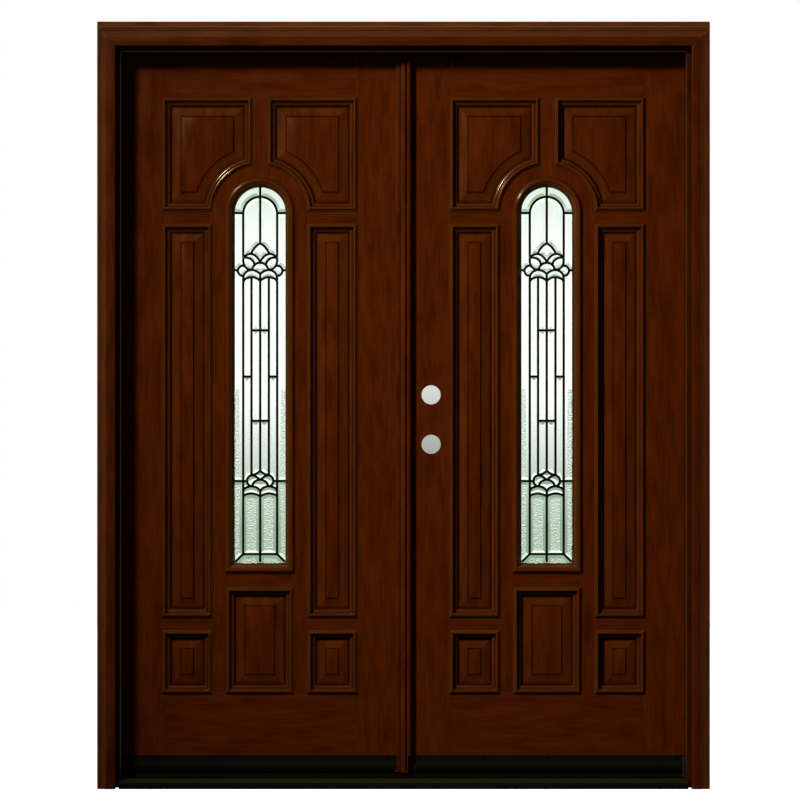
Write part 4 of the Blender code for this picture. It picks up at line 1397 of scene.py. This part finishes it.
@dataclass
class Shoes:
    """The black drip strips at the leaves' feet, with screws, end boots and corner pads."""

    shop: Workshop
    screws: tuple[float, ...] = (0.0435, 0.2262, 0.409, 0.5915, 0.7725)
    pad: tuple[float, float] = (0.7835, 0.7890)

    def strip(self, side: str) -> None:
        """Makes one shoe: a screwed flange, a round drip nose and a leg under the leaf."""
        node = f"{side}_door_shoe"
        low, high = corners_of(node)
        back = corners_of(f"{side}_hinge_stile")[0][1] - SEAM
        turn = np.radians(np.linspace(84, -74, 25))
        nose = np.stack((2.4 + 12.75 * np.cos(turn), 17.6 + 16.75 * np.sin(turn)), -1)
        face = np.vstack(
            ([(0.0, 49.1), (1.6, 49.2), (2.25, 48.8), (2.45, 48.0), (2.45, 36.2), (2.7, 35.0)],
             nose, [(6.0, 0.7), (5.2, 0.3), (2.6, 0.1)])
        ) * MM
        under = corners_of(f"{side}_bottom_rail")[0][2] - SEAM
        y = np.concatenate((back - face[:, 0], [high[1] - WITHIN, high[1] - WITHIN, back]))
        z = np.concatenate((low[2] + face[:, 1], [low[2] + WITHIN, under, under]))
        rings = cut_at(y, z, low[0] + WITHIN, high[0] - WITHIN)
        piece = lofted(f"{side}_door_shoe_strip", rings)
        self.shop.hang(piece, self.shop.even(SHOE), f"{side}_leaf", "shoe_black", [node])
        heads = Batch()
        dome = [(3.2, 0), (3.2, 0.3), (2.7, 0.9), (1.5, 1.25), (1.3, 1.2), (1.0, 0.5), (0.4, 0.4)]
        for across in self.screws:
            centre = (HAND[side] * across, back - 0.00235, low[2] + 0.0425)
            heads.turned(centre, [(r, -h) for r, h in dome], 1, 16)
        piece = heads.build(f"{side}_door_shoe_screws")
        self.shop.hang(piece, self.shop.even(SCREW), f"{side}_leaf", "shoe_black")

    def corners(self) -> None:
        """Makes the boots beside the astragal's foot and the pads on the jambs' stops."""
        rail = corners_of("left_bottom_rail")[0][2] - 0.0005
        for name, left, right in (("left", -0.0232, -0.0083), ("right", 0.0051, 0.0342)):
            boot = Batch()
            boot.block((left, 0.0705, 0.0318), (right, 0.1098, rail), 0.0012)
            if name == "left":
                boot.block((-0.0234, 0.0580, 0.0330), (-0.02215, 0.0692, 0.0810), 0.0003)
            piece = boot.build(f"{name}_shoe_boot")
            self.shop.hang(piece, self.shop.even(SHOE), f"{name}_leaf", "shoe_black")
            pad = Batch()
            inner, outer = sorted(HAND[name] * x for x in self.pad)
            pad.block((inner, 0.012, 0.0258), (outer, 0.053, 0.0800), 0.0010)
            piece = pad.build(f"{name}_corner_pad")
            self.shop.hang(piece, self.shop.even(RUBBER), "frame", "seal_vinyl")

    def build(self) -> None:
        """Makes everything at the foot of the leaves."""
        for side in ("left", "right"):
            self.strip(side)
        self.corners()


@dataclass
class Sill:
    """The olive strip at the front, the black ribbed tread behind it and the black nose cap."""

    shop: Workshop
    cap_height: float = 0.0143
    cap_thickness: float = 0.0022
    rib_pitch: float = 0.0060
    between_horns: float = 0.7889

    def rise(self, front: float, y: float) -> float:
        """Gives the tread's height at a depth: it climbs evenly from the nose."""
        return 0.0170 + (y - front - 0.006) * (0.0085 / 0.074) - 0.00008

    def ribs(self, front: float, start: float, end: float) -> list[tuple[float, float]]:
        """Gives fine grooves across the tread, one for each pitch."""
        grooves: list[tuple[float, float]] = []
        for y in np.arange(start, end, self.rib_pitch):
            level = self.rise(front, y)
            grooves += [(y - 0.0008, level - 0.0001), (y - 0.0004, level - 0.0006),
                        (y + 0.0004, level - 0.0005), (y + 0.0008, level + 0.0001)]
        return grooves

    def build(self) -> None:
        """Makes the front, the tread and the cap; the ends step in behind the horns."""
        low, high = corners_of("sill")
        front, back, top = low[1], high[1], high[2]
        near = front + self.cap_thickness + 0.0002
        reach, inner, split = high[0] - WITHIN, self.between_horns, 0.0240
        crest = front + 0.0070
        runs = [(near, self.cap_height + 0.0003), (crest + 0.0002, self.cap_height + 0.0003),
                (crest + 0.0002, self.rise(front, crest))]
        runs += self.ribs(front, front + 0.0105, split - 0.002)
        runs += [(split, self.rise(front, split)), (split, WITHIN), (near, WITHIN)]
        rear = [(split + 0.0002, self.rise(front, split) - 0.0002)]
        rear += self.ribs(front, split + 0.003, 0.048)
        end = back - WITHIN
        rear += [(0.0500, top - 0.0001), (back - 0.001, top - 0.0001), (end, top - 0.0008),
                 (end, WITHIN), (split + 0.0002, WITHIN)]
        for name, outline, finish in (("sill_front", runs, BRONZE), ("sill_tread", rear, TREAD)):
            y, z = np.array(outline).T
            wide = np.where(y < -0.0004, reach, inner)
            piece = lofted(name, cut_at(y, z, -wide, wide))
            instead = ["sill"] if name == "sill_front" else []
            self.shop.hang(piece, self.shop.even(finish), "frame", "sill_bronze", instead)
        face = front + WITHIN
        y, z = np.array(
            [(near - 0.0002, WITHIN), (face, WITHIN), (face, 0.0122), (front + 0.0006, 0.0136),
             (front + 0.0022, 0.0158), (front + 0.0060, 0.01685), (crest, 0.01685),
             (crest, self.cap_height), (near - 0.0002, self.cap_height)]
        ).T
        cap = lofted("sill_nose_cap", cut_at(y, z, -reach, reach))
        self.shop.hang(cap, self.shop.even(CAP), "frame", "shoe_black")


@dataclass
class Hinges:
    """The butt hinges: plates, rounded knuckles and the tips of a pin."""

    shop: Workshop
    knuckles: int = 5
    gap: float = 0.0004
    radius_mm: float = 6.6
    pin_x: float = 0.8037
    pin_out: float = 0.009
    frame_inner: float = 0.8043
    leaf_inner: float = 0.8001
    width: float = 0.0344
    thick: float = 0.003
    tip: float = 0.003

    def half(self, side: str, place: str, kind: str) -> None:
        """Makes one half: its plate, its knuckles with their leaves, and the pin's tips."""
        node = f"{side}_{place}_hinge_{kind}_plate"
        is_frame = kind == "frame"
        stile = corners_of(f"{side}_hinge_stile")[1][1]
        low, high = corners_of(f"{side}_{place}_hinge_frame_plate")
        bottom, top = low[2] + self.tip, high[2] - self.tip
        hand, axis_y = HAND[side], stile + self.pin_out
        inner = hand * (self.frame_inner if is_frame else self.leaf_inner)
        left, right = sorted((inner, inner + hand * self.thick))
        work = Batch()
        work.block((left, stile - self.width, bottom), (right, stile, top), 0.0005)
        pitch = (top - bottom + self.gap) / self.knuckles
        wide, tall = self.radius_mm, (pitch - self.gap) * 1000
        barrel = [(wide - 0.5, 0.0), (wide, 0.5), (wide, tall - 0.5), (wide - 0.5, tall)]
        for i in range(0 if is_frame else 1, self.knuckles, 2):
            z = bottom + i * pitch
            ends = (left + 0.0001, stile - 0.0010, z), (right - 0.0001, axis_y, z + tall * MM)
            work.block(*ends, 0.0003)
            work.turned((hand * self.pin_x, axis_y, z), barrel)
        if is_frame:
            pin = [(3.6, -0.4), (4.3, 0.3), (4.3, 1.6), (3.2, 2.6), (1.2, 2.95)]
            for z, way in ((top, 1), (bottom, -1)):
                work.turned((hand * self.pin_x, axis_y, z), [(r, h * way) for r, h in pin])
        piece = work.build(f"{node}_fine")
        body = "frame" if is_frame else f"{side}_leaf"
        self.shop.hang(piece, self.shop.even(HINGE), body, "hinge_bronze", [node])

    def build(self) -> None:
        """Makes both halves of all six hinges."""
        for side in ("left", "right"):
            for place in ("top", "middle", "bottom"):
                for kind in ("frame", "leaf"):
                    self.half(side, place, kind)


@dataclass
class Boards:
    """The solids that stay as they are and only get their finish."""

    shop: Workshop

    def dress(self) -> None:
        """Gives every solid of the frame its finish, shown or not."""
        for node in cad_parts:
            self.shop.dress(node, self.finish_for(node))

    def finish_for(self, node: str) -> bpy.types.Material:
        """Chooses a solid's finish by its name."""
        even = {
            "seal": RUBBER, "door_shoe": SHOE, "plate": HINGE, "glass_unit": CLEAR,
            "sill": BRONZE, "sill_saddle": SADDLE_IN_PAINTED_SHADE,
        }
        for ending, finish in sorted(even.items(), key=lambda pair: -len(pair[0])):
            if node.endswith(ending):
                return self.shop.even(finish)
        if "casing" in node or "drip_cap" in node:
            grain = Grain.LEVEL if "head" in node else Grain.UPRIGHT
            return self.shop.wood(node, grain, CASING_WOOD)
        if node.endswith("centre_frame"):
            low, high = corners_of(node)
            return self.shop.wood(node, Grain.FRAMED, WOOD, (low[0] + high[0]) / 2)
        if node.endswith("jamb"):
            grain = Grain.LEVEL if "head" in node else Grain.UPRIGHT
            return self.shop.wood(node, grain, JAMB_WOOD)
        level = node.endswith("rail")
        return self.shop.wood(node, Grain.LEVEL if level else Grain.UPRIGHT)


@dataclass(frozen=True)
class Studio:
    """The light, the white ground and the camera."""

    lens: float = 114.74
    camera_at: tuple[float, float, float] = (-0.0098, -7.12, 1.0825)
    lamp_at: tuple[float, float, float] = (-2.48, -3.3, 3.84)
    lamp_aim: tuple[float, float, float] = (1.4, 0.07, 0.35)
    lamp_radius: float = 0.33
    lamp_power: float = 1000.0
    lamp_cone: float = math.radians(56)
    warm: tuple[float, float, float] = (1.0, 0.78, 0.42)
    glow: float = 1.35
    ambient: float = 0.6
    front: float = 0.045
    dim_from: float = -0.35
    doorway: tuple[float, float, float] = (0.09, 0.07, 0.99)

    def light(self) -> None:
        """Makes the one lamp, up on the left in front of the door."""
        data = bpy.data.lights.new("key_light", "SPOT")
        data.energy, data.color = self.lamp_power, self.warm
        data.shadow_soft_size = self.lamp_radius
        data.spot_size, data.spot_blend = self.lamp_cone, 1.0
        lamp = bpy.data.objects.new("key_light", data)
        lamp.location = self.lamp_at
        aim = Vector(self.lamp_aim) - Vector(self.lamp_at)
        lamp.rotation_mode = "QUATERNION"
        lamp.rotation_quaternion = aim.to_track_quat("-Z", "Y")
        bpy.context.scene.collection.objects.link(lamp)

    def ramp(
        self, tree: bpy.types.NodeTree, value: Socket, levels: Sequence[tuple[float, str]]
    ) -> Socket:
        """Adds a ramp of colours over levels of a value.

        Args:
            tree: the node tree.
            value: what is looked up.
            levels: (value, colour) from low to high.

        Returns:
            The ramp's colour.
        """
        low, high = levels[0][0], levels[-1][0]
        node = add_node(tree, "ShaderNodeValToRGB", {"Fac": ranged(tree, value, low, high)})
        stops = node.color_ramp.elements
        stops[0].position, stops[0].color = 0.0, linear(levels[0][1])
        stops[1].position, stops[1].color = 1.0, linear(levels[-1][1])
        for level, colour in levels[1:-1]:
            stops.new((level - low) / (high - low)).color = linear(colour)
        return node.outputs[0]

    def backdrop(self) -> None:
        """Makes the world.

        To the eye it is white. Through the glass it is a bright backdrop with grey-green
        ground below and a green-grey edge above. It lights the door softly and warmly from
        the sides, above and behind, and hardly from the front. The bores look into a
        doorway: up to doorway's first two values aside and beyond its third straight ahead.
        """
        world = bpy.data.worlds.new("studio")
        bpy.context.scene.world = world
        world.use_nodes = True
        tree = world.node_tree
        tree.nodes.clear()
        output = add_node(tree, "ShaderNodeOutputWorld")
        way = add_node(tree, "ShaderNodeTexCoord").outputs["Generated"]
        x, y, z = add_node(tree, "ShaderNodeSeparateXYZ", {0: way}).outputs
        rays = add_node(tree, "ShaderNodeLightPath").outputs
        passing = rays["Is Transmission Ray"]

        through = self.ramp(tree, z, THROUGH_GLASS)
        seen = add_node(tree, "ShaderNodeBackground", {"Color": through, "Strength": self.glow})
        dark_at, white_at, straight = self.doorway
        aside = ranged(tree, math_of(tree, "ABSOLUTE", x), dark_at, white_at)
        ahead = math_of(tree, "GREATER_THAN", y, straight)
        inside = math_of(tree, "MULTIPLY", aside, ahead)
        shade = mix_of(tree, inside, (1, 1, 1, 1), self.ramp(tree, z, THROUGH_BORES))
        plain = add_node(tree, "ShaderNodeBackground", {"Color": shade})
        inputs = {0: passing, 1: plain.outputs[0], 2: seen.outputs[0]}
        view = add_node(tree, "ShaderNodeMixShader", inputs)

        facing = math_of(tree, "MULTIPLY", rays["Is Diffuse Ray"], self.front)
        soft = ranged(tree, y, self.dim_from, 0.0, facing, self.ambient)
        inputs = {"Color": (*self.warm, 1), "Strength": soft}
        fill = add_node(tree, "ShaderNodeBackground", inputs)

        bounced = math_of(tree, "ADD", rays["Diffuse Depth"], rays["Glossy Depth"])
        clear = math_of(tree, "MULTIPLY", passing, math_of(tree, "LESS_THAN", bounced, 0.5))
        direct = math_of(tree, "MAXIMUM", rays["Is Camera Ray"], clear)
        inputs = {0: direct, 1: fill.outputs[0], 2: view.outputs[0]}
        both = add_node(tree, "ShaderNodeMixShader", inputs)
        tree.links.new(both.outputs[0], output.inputs["Surface"])

    def floor(self) -> None:
        """Makes the white ground."""
        bpy.ops.mesh.primitive_plane_add(size=12, location=(0, -1.0, -0.0005))
        ground = bpy.context.object
        ground.name = "studio_floor"
        material, tree, output = new_tree("white_studio_floor")
        inputs = {"Color": (1, 1, 1, 1), "Strength": self.glow}
        glow = add_node(tree, "ShaderNodeEmission", inputs)
        tree.links.new(glow.outputs[0], output.inputs["Surface"])
        ground.data.materials.append(material)
        for use in ("diffuse", "glossy", "transmission", "shadow"):
            setattr(ground, f"visible_{use}", False)

    def camera(self) -> None:
        """Sets the camera square to the door at the photo's distance."""
        data = bpy.data.cameras.new("camera")
        data.lens, data.sensor_width = self.lens, 36
        camera = bpy.data.objects.new("camera", data)
        camera.location = self.camera_at
        camera.rotation_euler = (math.pi / 2, 0, 0)
        bpy.context.scene.collection.objects.link(camera)
        bpy.context.scene.camera = camera
        bpy.context.scene.view_settings.view_transform = "Standard"

    def build(self) -> None:
        """Sets up light, ground and camera."""
        self.light()
        self.backdrop()
        self.floor()
        self.camera()


def main() -> None:
    """Builds and dresses every part of the door."""
    logging.basicConfig(level=logging.INFO, format="%(message)s")
    shop = Workshop()
    Boards(shop).dress()
    for side in ("left", "right"):
        leaf = LeafPlaces.read(side)
        for place in (
            "top_panel_outer", "top_panel_inner", "tall_panel_outer", "tall_panel_inner",
            "low_panel_outer", "low_panel_inner", "low_panel_centre",
        ):
            Panel(side, place, shop).build(leaf)
        LiteFrame(side, shop).build(leaf)
        LeadedLite(side, shop).build(leaf)
    for part in (Casing(shop), Astragal(shop), Shoes(shop), Sill(shop), Hinges(shop)):
        part.build()
    Studio().build()


if __name__ == "__main__":
    main()
